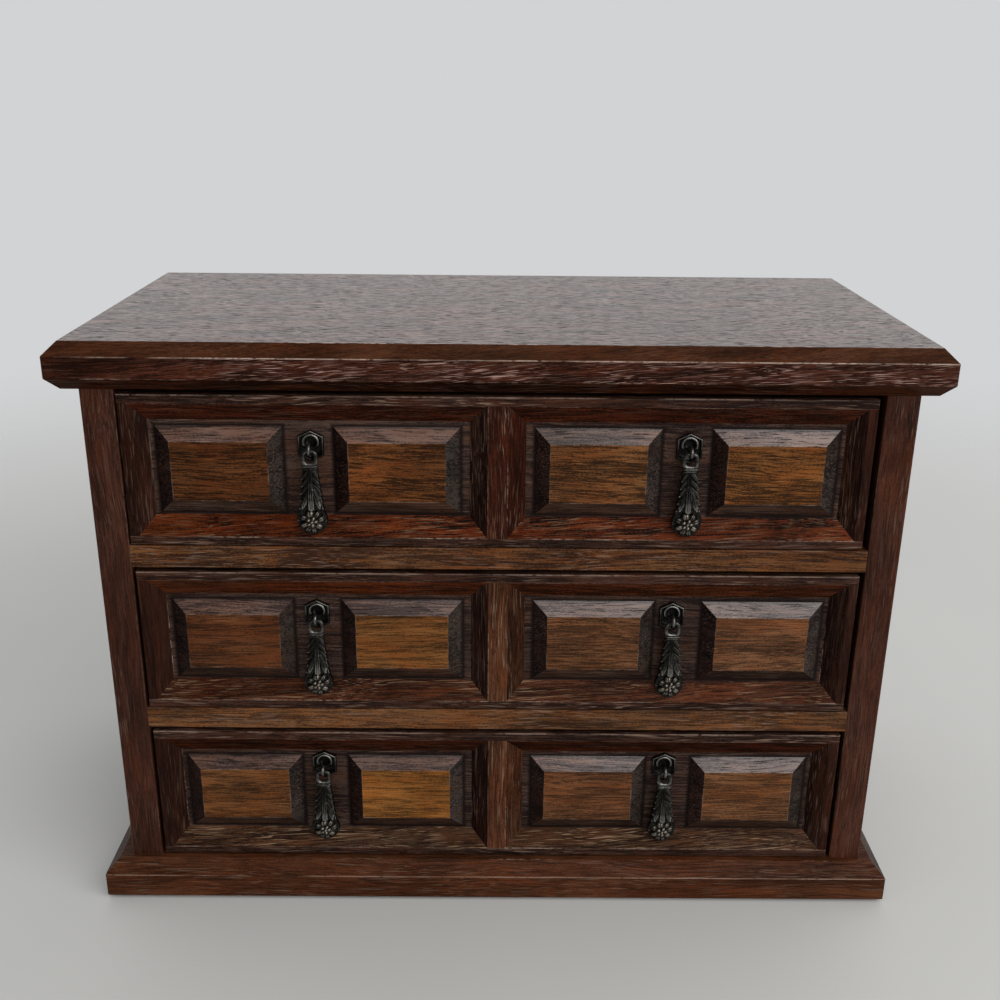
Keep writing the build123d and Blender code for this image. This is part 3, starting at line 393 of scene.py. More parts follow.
# Side panels: upright boards of redder wood, which stand on the base board. Both corners of
# their front edges are lightly rubbed down.
def plain_finish(node, material):
    """Give a CAD node one material all over."""
    face_finish(node, [material], lambda middles, normals: np.zeros(len(middles)))


across_z = (1.0, 1.0, 0.0)
for side, sign in (("left", -1), ("right", 1)):
    low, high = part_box(side + "_side_panel")
    outer, inner = (low.x, high.x)[::-sign]
    corners = [((outer, low.y, 0), across_z, 0.0004, 0.0), ((inner, low.y, 0), across_z, 0.0003, 0.0)]
    panel_wood = wood(side + "_panel_wood", "z", (0.058, 0.0205, 0.012), (0.023, 0.008, 0.0045),
                      0.6 + 0.1 * sign, contrast=0.85, flecks=0.25, edges=corners, shine=0.08)
    plain_finish(side + "_side_panel", panel_wood)

# Back panel, dust panels and stop blocks: plain wood with an open grain. The back sits in rebates
# and the dust panels in grooves of the side panels, and only the back is stained.
sheet_wood = wood("unstained_wood", "x", (0.50, 0.34, 0.21), (0.30, 0.18, 0.10), 1.7, contrast=0.7, pores=0.4,
                  flecks=0.0)
back_wood = wood("back_panel_wood", "z", (0.16, 0.085, 0.048), (0.07, 0.034, 0.020), 2.1, contrast=0.8,
                 flecks=0.1)
plain_finish("back_panel", back_wood)
for node in ("upper_dust_panel", "lower_dust_panel", "drawer_stops"):
    plain_finish(node, sheet_wood)

# Rails between the drawers: strips of paler golden-brown wood with a crisp straight grain, set
# between the side panels. Their upper front edges are rubbed.
for level, pale, deep, shift in (("upper", (0.122, 0.050, 0.018), (0.034, 0.013, 0.006), 0.9),
                                 ("lower", (0.125, 0.054, 0.020), (0.044, 0.018, 0.008), 1.2)):
    low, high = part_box(level + "_rail")
    rail_wood = wood(level + "_rail_wood", "x", pale, deep, shift, contrast=1.8, flecks=0.6,
                     edges=[((0, low.y, high.z), across_x, 0.0003, 0.0)])
    plain_finish(level + "_rail", rail_wood)

# Top board: the same wood as the base, bevelled above and below and laid over the side panels.
# Its front edge is rubbed paler, in strokes that follow the slanting grain.
low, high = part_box("top_board")
bevel, foot_bevel = 0.0043, 0.0042
face_crest = ((0, low.y + bevel + 0.0001, high.z), across_x, 0.0007, 0.02)
crest = ((0, low.y + bevel, high.z), across_x, 0.0003, -0.04)
lip = ((0, low.y, high.z - bevel), across_x, 0.00032, 0.08)
foot = ((0, low.y, low.z + foot_bevel), across_x, 0.0004, -0.02)
bare = (0.42, 0.31, 0.25)
board_top = wood("top_board_face", "x", (0.130, 0.060, 0.045), (0.052, 0.026, 0.018), 0.0, contrast=1.5,
                 pores=1.3, flecks=0.12, size=0.9, short=1.7, bump=0.00028, edges=[face_crest], shine=0.08,
                 coat=0.63, rub=(0.50, 0.36, 0.31))
board_bevel = wood("top_board_bevel", "x", (0.062, 0.022, 0.009), (0.028, 0.009, 0.004), 0.21, contrast=0.9,
                   flecks=0.1, lean=0.15, edges=[lip, crest], shine=0.05, rub=bare)
board_lip = wood("top_board_lip", "x", (0.056, 0.018, 0.010), (0.014, 0.004, 0.002), 0.24, contrast=1.6,
                 flecks=1.0, fleck=(0.34, 0.215, 0.175), size=0.55, short=0.8, lean=0.07, bump=0.00016,
                 edges=[lip, foot], shine=0.04, rub=bare, calm=(-0.105, -0.075))
# Painted shade: the foot bevel faces down under the overhang and is darkened for it.
board_foot = wood("top_board_foot", "x", (0.032, 0.009, 0.003), (0.008, 0.002, 0.001), 0.27, edges=[foot],
                  shine=0.03)
board_ends = wood("top_board_ends", "x", (0.046, 0.017, 0.009), (0.018, 0.006, 0.003), 0.3, contrast=0.7,
                  flecks=0.1)


def board_faces(middles, normals):
    """Top 0, bevel 1, lip 2 and foot 3, as the faces turn from up to down, and the ends 4. The foot,
    which faces down under the overhang, is painted darker as shade.
    """
    return np.where(np.abs(normals[:, 0]) > 0.5, 4, sum(normals[:, 2] < limit for limit in (0.98, 0.3, -0.3)))


face_finish("top_board", [board_top, board_bevel, board_lip, board_foot, board_ends], board_faces)


# Drawer boxes: thin unstained sides, backs and bottoms, and a ground board behind the relief that
# is stained on its face and edges.
def field_border():
    """Node group of the lines round the raised fields of a drawer: a dark line at their outline, which
    is painted shade together with dirt in the crack, and the rubbed corner of their bevel. Folding
    the width at the middle and at the two pulls lays the four fields on one rectangle, whose distance
    is the larger of those along X and Z."""
    half_pulls, half_fields, half_width, bevel_width = 0.0628, 0.0294, 0.0211, 0.0050
    group, given = node_group("field_border", {"Vector": "Vector", "Middle": "Vector",
                                               "Half Height": "Float"}, {"Crack": "Float", "Corner": "Float"})
    off = vectors(group, "SUBTRACT", given["Vector"], given["Middle"])
    off = wire(group, "ShaderNodeSeparateXYZ", {0: off}).outputs
    across = off["X"]
    for fold in (0.0, half_pulls, half_fields):
        across = maths(group, "ABSOLUTE", maths(group, "SUBTRACT", across, fold))
    across = maths(group, "SUBTRACT", across, half_width)
    up = maths(group, "SUBTRACT", maths(group, "ABSOLUTE", off["Z"]), given["Half Height"])
    outside = maths(group, "MAXIMUM", across, up)

    def line(place, width):
        """Mask of a line so far outside the outline, that fades over its width on both sides."""
        gap = maths(group, "ABSOLUTE", maths(group, "SUBTRACT", outside, place))
        return ranged(group, gap, 0.0, width, 1.0, 0.0)

    patchy = ranged(group, noise(group, given["Vector"], 260.0, 3.0), 0.45, 0.75, 0.0, 0.8)
    corner = maths(group, "MULTIPLY", line(-bevel_width, 0.0003), patchy)
    wire(group, "NodeGroupOutput", {"Crack": line(0.0001, 0.0011), "Corner": corner})
    return group


border_group = field_border()
drawers = ["bottom", "middle", "top"]
box_wood = wood("drawer_side_wood", "y", (0.46, 0.31, 0.19), (0.27, 0.17, 0.10), 2.6, contrast=0.7,
                flecks=0.0)
borders = {}
for number, name in enumerate(drawers):
    low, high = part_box(name + "_drawer_fields")
    borders[name] = (((low.x + high.x) / 2, 0, (low.z + high.z) / 2), (high.z - low.z) / 2)
    ground_wood = wood(name + "_ground_wood", "x", (0.050, 0.029, 0.022), (0.014, 0.007, 0.006), 3.0 + number,
                       contrast=1.6, fields=borders[name])
    face_finish(name + "_drawer_front", [sheet_wood, ground_wood],
                lambda middles, normals: normals[:, 1] < 0.5)
    for part in ("left_side", "right_side"):
        plain_finish(name + "_drawer_" + part, box_wood)
    for part in ("back", "bottom"):
        plain_finish(name + "_drawer_" + part, sheet_wood)


# Drawer frames: two rails, two stiles and a mullion with sloping inner edges, whose narrow flat
# strips have rubbed edges. The slopes carry painted shade by how they face: the slope that faces
# down is darker than the one that faces up, every face that looks left is near black, and the
# mullion's slope that faces right is darker than its crest.
def toned(colour, share):
    """A colour made so many times as bright."""
    return tuple(share * part for part in colour)


strip, slope, half_crest = 0.0031, 0.006, 0.00335
stile = (0.028, 0.009, 0.005)
# Slopes that face down, painted darker as shade.
shaded_upper_slopes = {"top": (0.055, 0.013, 0.005), "middle": (0.074, 0.019, 0.006),
                "bottom": (0.052, 0.012, 0.004)}
lower_slopes = {"top": ((0.092, 0.020, 0.005), (0.008, 0.0025, 0.0015), 0.4),
                "middle": ((0.078, 0.026, 0.012), (0.020, 0.007, 0.004), 0.5),
                "bottom": ((0.065, 0.032, 0.018), (0.016, 0.008, 0.005), 0.85)}
mullions = {"top": (0.051, 0.013, 0.006), "middle": (0.077, 0.029, 0.013), "bottom": (0.110, 0.040, 0.019)}
for number, name in enumerate(drawers):
    low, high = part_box(name + "_drawer_frame")
    middle_x, middle_z = (low.x + high.x) / 2, (low.z + high.z) / 2
    rail_zone = (high.z - low.z) / 2 - strip - 0.0002
    half_ground = (high.x - low.x) / 2 - strip - slope
    inner_top = ((0, low.y, high.z - strip), across_x, 0.0003, 0.0)
    inner_bottom = ((0, low.y, low.z + strip), across_x, 0.0003, 0.03)
    outer_top = ((0, low.y, high.z), across_x, 0.0005, 0.10)
    outer_bottom = ((0, low.y, low.z), across_x, 0.0004, 0.0)
    feet = [((middle_x + side * half_ground, high.y, 0), across_z, 0.0004, 0.0) for side in (-1, 1)]
    crests = [((middle_x + side * half_crest, low.y, 0), across_z, 0.0003, 0.0) for side in (-1, 1)]
    above, upright, (pale, deep, flecks) = shaded_upper_slopes[name], mullions[name], lower_slopes[name]
    shift = 4.0 + 0.7 * number
    finishes = [
        wood(name + "_frame_strips", "x", (0.048, 0.022, 0.015), (0.012, 0.005, 0.0035), shift, flecks=0.7,
             edges=[inner_bottom, outer_top, outer_bottom], shine=0.06),
        # Painted shade: the slope that faces down is a darker copy of the frame's wood.
        wood(name + "_frame_top_slope", "x", above, toned(above, 0.2), shift + 0.1, flecks=0.15,
             edges=[inner_top], shine=0.03),
        wood(name + "_frame_lower_slope", "x", pale, deep, shift + 0.2, contrast=1.4, flecks=flecks,
             fleck=(0.27, 0.17, 0.10), size=0.85, lean=0.06, edges=[inner_bottom], shine=0.03),
        wood(name + "_frame_stiles", "z", stile, toned(stile, 0.42), shift + 0.3, contrast=0.95, flecks=0.2,
             edges=feet, shine=0.05),
        wood(name + "_frame_mullion", "z", upright, toned(upright, 0.36), shift + 0.4, contrast=1.0,
             flecks=0.6, fleck=(0.24, 0.16, 0.11), edges=crests, shine=0.05),
        # Painted shade: every face that looks left gets this near-black copy.
        wood(name + "_frame_dark_slopes", "z", (0.020, 0.008, 0.005), (0.006, 0.002, 0.0015), shift + 0.5,
             edges=feet, shine=0.03),
        # Painted shade: the mullion's slope that faces right is a darker copy of its crest.
        wood(name + "_frame_mullion_slope", "z", toned(upright, 0.62), toned(upright, 0.2), shift + 0.6,
             contrast=1.0, edges=crests, shine=0.03),
    ]

    def choose(middles, normals, middle_x=middle_x, middle_z=middle_z, rail_zone=rail_zone):
        """Strips 0, slope that faces down 1, slope that faces up 2, stiles 3, slopes that face left 5,
        and of the mullion, within 20 mm of the middle, the crest 4 and the slope that faces right 6.
        The slope that faces down, the slopes that face left and the mullion's right slope carry painted shade."""
        sloping = (np.abs(normals[:, 2]) > 0.2) & (normals[:, 1] < -0.2)
        in_rail = np.abs(middles[:, 2] - middle_z) > rail_zone
        picked = np.zeros(len(middles))
        picked[~in_rail & ~sloping] = 3
        central = ~in_rail & ~sloping & (np.abs(middles[:, 0] - middle_x) < 0.02)
        picked[central] = 4
        picked[central & (normals[:, 0] > 0.2)] = 6
        picked[sloping & ~in_rail & (normals[:, 2] < 0)] = 1
        picked[sloping & ~in_rail & (normals[:, 2] > 0)] = 2
        picked[~in_rail & (normals[:, 0] < -0.2)] = 5
        return picked

    face_finish(name + "_drawer_frame", finishes, choose)

# Raised fields: four small blocks with a bevel all round. The flat faces are the palest, golden
# brown wood of the chest, each from another board, and the end-grain bevels drank the most stain.
# The ends that face left are painted darker as shade and those that face right lighter as lit, the
# foot bevels are painted darker as shade, and the top bevels' grey-mauve is partly painted sheen
# over the coat's own reflection.
field_tones = {
    "top": ((0.090, 0.031, 0.009), (0.115, 0.040, 0.011), (0.142, 0.057, 0.019), (0.153, 0.058, 0.015)),
    "middle": ((0.095, 0.035, 0.0135), (0.142, 0.057, 0.016), (0.122, 0.052, 0.022), (0.134, 0.059, 0.027)),
    "bottom": ((0.130, 0.052, 0.018), (0.215, 0.086, 0.020), (0.128, 0.052, 0.022), (0.152, 0.065, 0.027)),
}
field_depths = {"top": (0.22, 1.8), "middle": (0.32, 1.7), "bottom": (0.34, 1.7)}
for number, name in enumerate(drawers):
    low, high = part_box(name + "_drawer_fields")
    pitch_x = (high.x - low.x) / 4
    dark_share, contrast = field_depths[name]
    finishes = []
    for place, pale in enumerate(field_tones[name]):
        finishes.append(wood(f"{name}_field_{place + 1}", "x", pale, toned(pale, dark_share),
                             7.0 + 1.3 * number + 0.31 * place, contrast=contrast, pores=0.35, flecks=0.5,
                             fleck=toned(pale, 2.0), size=0.8, bump=0.00014, rub=(0.20, 0.13, 0.09),
                             fields=borders[name]))
    finishes += [
        # Painted light and shade: the ends that face left are dark copies, and those that face right are lit ones.
        wood(name + "_field_left_ends", "x", (0.018, 0.008, 0.006), (0.004, 0.0015, 0.001), 11.0 + number,
             contrast=1.8, flecks=0.5, fleck=(0.07, 0.045, 0.035), rub=(0.12, 0.08, 0.06),
             fields=borders[name]),
        wood(name + "_field_right_ends", "x", (0.034, 0.025, 0.021), (0.010, 0.007, 0.006), 11.5 + number,
             contrast=1.8, flecks=0.5, fleck=(0.11, 0.085, 0.075), rub=(0.15, 0.11, 0.09),
             fields=borders[name]),
        # The top bevels' pale grey-mauve is partly painted sheen. The foot bevels are painted darker as shade.
        wood(name + "_field_top_bevels", "x", (0.120, 0.067, 0.051), (0.038, 0.020, 0.016), 12.0 + number,
             contrast=1.5, pores=0.8, flecks=0.3, bump=0.00005, shine=0.08, coat=0.92, fields=borders[name]),
        wood(name + "_field_foot_bevels", "x", (0.050, 0.026, 0.017), (0.016, 0.008, 0.006), 12.5 + number,
             fields=borders[name]),
    ]

    def choose(middles, normals, low_x=low.x, pitch_x=pitch_x):
        """Fields 0 to 3 from the left, left ends 4 (painted shade), right ends 5 (lighter, as lit), top
        bevels 6 (partly painted sheen), foot bevels 7 (painted shade).
        """
        picked = np.clip((middles[:, 0] - low_x) // pitch_x, 0, 3)
        picked[normals[:, 0] < -0.2] = 4
        picked[normals[:, 0] > 0.2] = 5
        picked[normals[:, 2] > 0.2] = 6
        picked[normals[:, 2] < -0.2] = 7
        return picked

    face_finish(name + "_drawer_fields", finishes, choose)


# Velvet linings: one piece of short-pile velvet, cut as a cross, folded up and glued over each
# drawer's bottom and walls. Each is one closed skin, thick at its pile and round at its folds.
def velvet_finish():
    """Short-pile velvet: a deep red that turns paler at a slant, with pressed and brushed areas."""
    material, tree, shader, coordinates = new_material("velvet")
    lie = ranged(tree, noise(tree, coordinates, 45.0, 3.0), 0.36, 0.64)
    feed(shader, {"Base Color": mixed(tree, lie, (0.085, 0.008, 0.015, 1), (0.21, 0.024, 0.040, 1)),
                  "Normal": raised(tree, noise(tree, coordinates, 2600.0, 2.0), 0.0004, 0.7),
                  "Roughness": 0.95, "Sheen Weight": 0.6, "Sheen Roughness": 0.4,
                  "Sheen Tint": (0.9, 0.45, 0.5, 1)})
    return material


def rounded_loop(half_x, half_y, radius, count):
    """Closed loop of a rectangle with round corners: four quarter circles, each in equal steps, so
    that every loop has the same number of points."""
    steps = np.linspace(0, np.pi / 2, count)
    quarter = np.stack([np.cos(steps), np.sin(steps)], axis=-1) * radius
    centres = np.array([[1, 1], [-1, 1], [-1, -1], [1, -1]]) * [half_x - radius, half_y - radius]
    turned = [quarter, quarter[:, ::-1] * [-1, 1], -quarter, quarter[:, ::-1] * [1, -1]]
    return np.concatenate([middle + corner for middle, corner in zip(centres, turned)])


velvet = velvet_finish()
pile, bend, glue = 0.0009, 0.0016, 0.00005
corner, least_corner = 0.004, 0.0003
for name in drawers:
    low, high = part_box(name + "_drawer_lining")
    half_x, half_y = (high.x - low.x) / 2, (high.y - low.y) / 2
    inner_x, inner_y = half_x - pile, half_y - pile
    outer_x, outer_y = half_x - glue, half_y - glue
    floor_z, lip_z = low.z + pile, high.z - pile / 2
    levels = []
    for share in np.linspace(0.02, 1, 24):
        levels.append(((inner_x - bend) * share, (inner_y - bend) * share, floor_z,
                       max(least_corner, corner * share)))
    for angle in np.linspace(0, np.pi / 2, 7)[1:]:
        out = bend * (np.sin(angle) - 1)
        levels.append((inner_x + out, inner_y + out, floor_z + bend * (1 - np.cos(angle)), corner))
    for up in np.linspace(0, 1, 14)[1:]:
        levels.append((inner_x, inner_y, floor_z + bend + up * (lip_z - floor_z - bend), corner))
    for angle in np.linspace(0, np.pi / 2, 5)[1:]:
        out = 0.9 * pile * (1 - np.cos(angle))
        levels.append((inner_x + out, inner_y + out, lip_z + pile / 2 * np.sin(angle), corner))
    for z in (lip_z, floor_z + bend, low.z + 4 * glue):
        levels.append((outer_x, outer_y, z, corner))
    for share in (0.998, 0.7, 0.35, 0.02):
        levels.append((outer_x * share, outer_y * share, low.z + glue, max(least_corner, corner * share)))
    loops = []
    for half_w, half_d, z, radius in levels:
        loop = rounded_loop(half_w, half_d, radius, 12)
        loops.append(np.column_stack([loop, np.full(len(loop), z)]))
    points = np.array(loops) + [(low.x + high.x) / 2, (low.y + high.y) / 2, 0]
    lining = smooth_piece(name + "_velvet_lining", [skin(points)], velvet)
    wide, deep, tall = 2 * half_x, 2 * half_y, high.z - low.z
    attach(lining, name + "_drawer")
    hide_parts(name + "_drawer_lining")


# Pull plates: cast pointed plates, blackened, with a broad raised rim along the outline. Inside
# it a thick arch stands round the dark recess that the eye comes out of.
def cast_finish(name, dark, grey, bronze):
    """Blackened cast metal, grey where the attribute worn says that the casting stands proud, or
    bronze where the attribute bronze does. The grey of worn is worn finish with painted highlight in it."""
    material, tree, shader, coordinates = new_material(name)
    worn = wire(tree, "ShaderNodeAttribute", attribute_name="worn").outputs["Fac"]
    warm = wire(tree, "ShaderNodeAttribute", attribute_name="bronze").outputs["Fac"]
    speck, cloud = noise(tree, coordinates, 900.0, 4.0), noise(tree, coordinates, 260.0, 2.0)
    share = ranged(tree, maths(tree, "MULTIPLY_ADD", speck, 0.7, worn), 0.68, 1.30)
    bright = mixed(tree, warm, (*grey, 1), (*bronze, 1))
    feed(shader, {"Base Color": mixed(tree, share, (*dark, 1), bright), "Metallic": 1.0,
                  "Roughness": maths(tree, "MULTIPLY_ADD", cloud, 0.25, 0.32),
                  "Normal": raised(tree, speck, 0.00004, 0.6)})
    return material


cast_metal = cast_finish("blackened_cast", (0.024, 0.023, 0.020), (0.27, 0.26, 0.24), (0.26, 0.215, 0.165))
half_wide, half_tall, shoulder = 0.0043, 0.0055, 0.0021
arch_rise, hinge_drop = 0.0014, 0.0007
turn = np.linspace(0, 2 * np.pi, 144, endpoint=False)
outline = np.array([(0, half_tall), (half_wide, half_tall - shoulder), (half_wide, shoulder - half_tall),
                    (0, -half_tall), (-half_wide, shoulder - half_tall), (-half_wide, half_tall - shoulder)])
outline -= [0, arch_rise]
reach = np.ones(len(turn))
for start, end in zip(outline, np.roll(outline, -1, axis=0)):
    out = np.array([start[1] - end[1], end[0] - start[0]]) / np.hypot(*(end - start))
    facing = np.cos(turn) * out[0] + np.sin(turn) * out[1]
    reach = np.where(facing > 0.05, np.minimum(reach, (out @ start) / np.maximum(facing, 0.05)), reach)

# Rings of points, from the recess outwards: the arch's are (mm from its middle, mm high), and the
# rim's are (share of the way to the outline, mm high). The arch is open below.
arch_rings = [(0.5, 0.1), (1.5, 0.1), (1.7, 0.45), (1.85, 0.8), (2.05, 1.2), (2.35, 1.5), (2.65, 1.5),
              (2.9, 1.2), (3.02, 0.8), (3.1, 0.45)]
rim_rings = [(0.79, 0.4), (0.80, 0.8), (0.83, 1.2), (0.87, 1.45), (0.93, 1.5), (0.97, 1.3), (1.0, 0.9),
             (1.0, 0.0)]
arch = np.clip(2 * np.sin(turn) + 1.9, 0, 1)
bed_height = 0.45
rows = []
for far, tall in arch_rings:
    bed = min(tall, bed_height)
    rows.append((np.minimum(far * 0.001, 0.78 * reach), bed + (tall - bed) * arch))
for share, tall in rim_rings:
    rows.append((share * reach, np.full(len(turn), tall)))
plate_shape = np.array([np.column_stack([far * np.cos(turn), -0.001 * tall, far * np.sin(turn) + arch_rise])
                        for far, tall in rows])

# Grey shows where the plate stands over 0.7 mm high: worn finish on what stands proud, made
# stronger high up as painted highlight, and stronger on the arch.
upper = np.clip(0.95 + (plate_shape[..., 2] - arch_rise) * 180, 0.45, 1.2)
rim_share = np.where(np.arange(len(rows)) < len(arch_rings), 1.0, 0.72)
plate_wear_and_highlight = np.clip(-plate_shape[..., 1] * 1000 - 0.7, 0, 0.78) * upper * rim_share[:, None]
hinges = {joint["child"]: np.array(joint["pos_m"]) for joint in frame["joints"]
          if "pull_swing" in joint["name"]}
for name in drawers:
    ground_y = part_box(name + "_pull_plates")[1].y
    skins = []
    for side in ("left", "right"):
        hinge = hinges[f"{name}_{side}_pendant"]
        skins.append(skin(plate_shape + [hinge[0], ground_y, hinge[2] + hinge_drop], worn=plate_wear_and_highlight))
    plates = smooth_piece(name + "_cast_plates", skins, cast_metal)
    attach(plates, name + "_drawer")
    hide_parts(name + "_pull_plates")


# Eyes: loops of thick wire, blackened as the plates are. Each stands on a shank that is driven
# through the recess of its plate into the drawer front.
def rod(path, radii):
    """Points of a round rod along a path in one plane: circles of the given radii that stand square
    to the path. A path whose ends lie a step apart is a closed one."""
    along = np.gradient(path, axis=0)
    if np.linalg.norm(path[0] - path[-1]) < 2 * np.linalg.norm(path[1] - path[0]):
        along[0], along[-1] = path[1] - path[-1], path[0] - path[-2]
    along = along / np.linalg.norm(along, axis=1, keepdims=True)
    spare = np.linalg.svd(path - path.mean(axis=0))[2][2]
    side = np.cross(along, spare)
    angle = np.linspace(0, 2 * np.pi, 20, endpoint=False)
    circle = side[:, None] * np.cos(angle)[:, None] + spare * np.sin(angle)[:, None]
    return path[:, None] + circle * np.broadcast_to(radii, len(path))[:, None, None]


eye_ring, eye_wire, eye_rise = 0.0016, 0.00055, 0.0006
shank, shank_end = 0.0008, 0.0077
sweep = np.linspace(0, 2 * np.pi, 48, endpoint=False)
ring_path = np.column_stack([np.zeros(len(sweep)), -np.cos(sweep), np.sin(sweep)]) * eye_ring
ring_path += [0, 0, eye_rise]
# The ring's grey: worn finish all round, and more on its front and top as painted highlight.
ring_wear_and_highlight = 0.3 + 0.4 * np.clip(np.cos(sweep) + 0.4 * np.sin(sweep), 0, 1)
for name in drawers:
    skins = []
    for side in ("left", "right"):
        hinge = hinges[f"{name}_{side}_pendant"]
        skins.append(skin(rod(ring_path + hinge, eye_wire), ring=True, worn=ring_wear_and_highlight[:, None]))
        path = np.linspace(hinge + [0, eye_ring, eye_rise], hinge + [0, shank_end, hinge_drop], 12)
        skins.append(skin(rod(path, shank), worn=0.1))
    eyes = smooth_piece(name + "_cast_eyes", skins, cast_metal)
    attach(eyes, name + "_drawer")
    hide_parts(name + "_pull_staples")


# Pendants: one casting each. A squarish bail and a beaded collar carry a drop of overlapping
# acanthus leaves on a ribbed stem, which widens into a lumpy eight-petalled flower.
def leaf(x, z, root, tip, half, low, high):
    """Height in mm of one pointed leaf at x and z: t runs from 0 at its root to 1 at its tip, and
    its half width is 1.95 half (t + 0.1)^0.5 (1 - t)^0.6. Its crest climbs from low to high with
    a vein along it. Outside the leaf the height is far below 0."""
    along = np.subtract(tip, root)
    length = np.hypot(*along)
    ahead = ((x - root[0]) * along[0] + (z - root[1]) * along[1]) / length ** 2
    aside = ((x - root[0]) * along[1] - (z - root[1]) * along[0]) / length
    t = np.clip(ahead, 0, 1)
    wide = 1.95 * half * (t + 0.1) ** 0.5 * (1 - t) ** 0.6 + 1e-6
    round_off = np.clip(1 - (aside / wide) ** 2, 0, 1)
    tall = low + (high - low) * t - 0.45 + 0.45 * round_off - 0.14 * np.exp(-((aside / 0.13) ** 2))
    return np.where((ahead > 0) & (ahead < 1) & (np.abs(aside) < wide), tall, -9.0)


flower, leaf_pitch = 5.2, 2.6


def half_drop(z):
    """Half the drop's width in mm, z mm above the middle of its flower: a circle below, and a taper
    above it whose edge the leaf tips notch at each leaf's pitch."""
    circle = np.sqrt(np.clip(flower ** 2 - z ** 2, 0, None))
    notched = 0.90 + 0.10 * ((1.3 - z / leaf_pitch) % 1.0) ** 0.7
    taper = (5.1 - 2.45 * np.clip(z / 18, 0, 1) ** 0.75) * notched
    return np.where(z > 1.0, np.maximum(taper, circle * (z < 3)), circle)


def drop_relief(x, z):
    """Height in mm of the drop's front: a dark bed, five pairs of leaves, a ribbed stem, one long
    pair in front, one pair wrapped round the flower, and the flower. Its eight petals, the five
    small ones inside them and the boss are domes, 0.95 (out^2 + side^2)^1.2 lower at their edges."""
    aside = np.abs(x)
    relief = 0.75 + 0.8 * np.sqrt(np.clip(1 - (x / half_drop(z)) ** 2, 0, 1))
    for step in range(5):
        root = 17.6 - leaf_pitch * step
        relief = np.maximum(relief, leaf(aside, z, (0.25, root), (0.99 * half_drop(root - 2.9), root - 3.1),
                                         0.9 + 0.05 * step, 1.5, 2.5))
    relief = np.maximum(relief, leaf(aside, z, (2.3, 8.6), (4.75, -0.6), 1.15, 1.5, 2.0))
    stem = 0.42 + 0.5 * np.clip((17 - z) / 13, 0, 1)
    ribs = 2.15 + 0.85 * np.clip((16 - z) / 9, 0, 1) + 0.16 * np.cos(2 * np.pi * x / stem)
    relief = np.where((aside < stem) & (z > 3.6 + 0.5 * (x / stem) ** 2), np.maximum(relief, ribs), relief)
    relief = np.maximum(relief, leaf(aside, z, (0.55, 11.0), (3.0, 4.3), 1.15, 2.2, 3.2))
    far = np.hypot(x, z + 0.35)
    relief = np.where(far < 3.9, 1.3, relief)
    for step in range(13):
        outer = step < 8
        turn = (0.785 * step + 0.3 + 0.13 * np.sin(5.1 * step) if outer
                else 1.257 * step + 0.1 * np.sin(3.3 * step))
        place = 2.72 + 0.22 * np.sin(2.3 * step + 1) if outer else 1.25
        across = (1.22 + 0.16 * np.sin(4.1 * step)) if outer else 0.78
        out = (x * np.cos(turn) + (z + 0.35) * np.sin(turn) - place) / (1.55 if outer else 0.95)
        side = (x * np.sin(turn) - (z + 0.35) * np.cos(turn)) / across
        top = 2.85 + 0.16 * np.sin(3.7 * step) if outer else 3.3
        lump = top - 0.95 * (out ** 2 + side ** 2) ** 1.2 - 0.2 * np.exp(-(side / 0.16) ** 2) * outer
        relief = np.maximum(relief, lump)
    return np.maximum(relief, 3.7 - 1.3 * (far / 0.75) ** 2)


def bead(middle, half_long, deep, tall):
    """Points of a bar across the pull with round ends: loops whose size is (1 - s^6)^0.5."""
    s = np.sin(np.linspace(-np.pi / 2, np.pi / 2, 31))[:, None]
    size = np.sqrt(np.clip(1 - np.abs(s) ** 6, 0.01, 1))
    angle = np.linspace(0, 2 * np.pi, 24, endpoint=False)
    return middle + np.stack([half_long * s + 0 * angle, -deep * size * np.cos(angle),
                              tall * size * np.sin(angle)], axis=-1)


# The drop's front is a grid of rows from the collar down to the foot of the flower, and a flat
# back closes each row. Grey shows on what stands over its surroundings, as worn finish with painted
# highlight on the raised edges, and more of it towards the bottom; bronze shows on the flower.
pendant_length, collar_drop, rear_gap = 0.0292, 0.00435, 0.00035
columns, rows_above, rows_below = 97, 170, 42
flower_z = pendant_length - flower / 1000
top_z = (flower_z - collar_drop - 0.0015) * 1000
z_rows = np.concatenate([np.linspace(top_z, 0, rows_above),
                         -flower * np.sin(np.linspace(0, np.pi / 2, rows_below)[1:-1])])
spacing = np.sin(np.linspace(-np.pi / 2, np.pi / 2, columns))
drop_x = half_drop(z_rows)[:, None] * spacing
drop_z = np.repeat(z_rows[:, None], columns, axis=1)
rim = np.clip((1 - np.abs(spacing)) / 0.04, 0, 1) ** 0.5
thick = 0.4 + (np.minimum(drop_relief(drop_x, drop_z), 3.8) - 0.4) * rim
nearby = sum(np.roll(thick, (up, over), axis=(0, 1)) for up in (-4, 0, 4) for over in (-4, 0, 4)) / 9
proud = 0.15 + 1.5 * (thick - nearby) + 0.42 * (thick - 2.3)
proud = np.clip(proud, 0.22 * (np.hypot(drop_x, drop_z) < 4), 1.0) * np.clip(1.3 - drop_z / 22, 0.45, 1.1)
front = np.stack([drop_x, -thick, drop_z], axis=-1)
back = np.stack([0.97 * drop_x[:, ::-6], np.zeros_like(drop_x[:, ::6]), drop_z[:, ::6]], axis=-1)
drop_shape = np.concatenate([front, back], axis=1) * 0.001
drop_wear_and_highlight = np.concatenate([proud, np.zeros(back.shape[:2])], axis=1)
drop_bronze = np.clip((4.3 - np.hypot(drop_shape[..., 0], drop_shape[..., 2]) * 1000) * 2, 0, 1) * 0.7

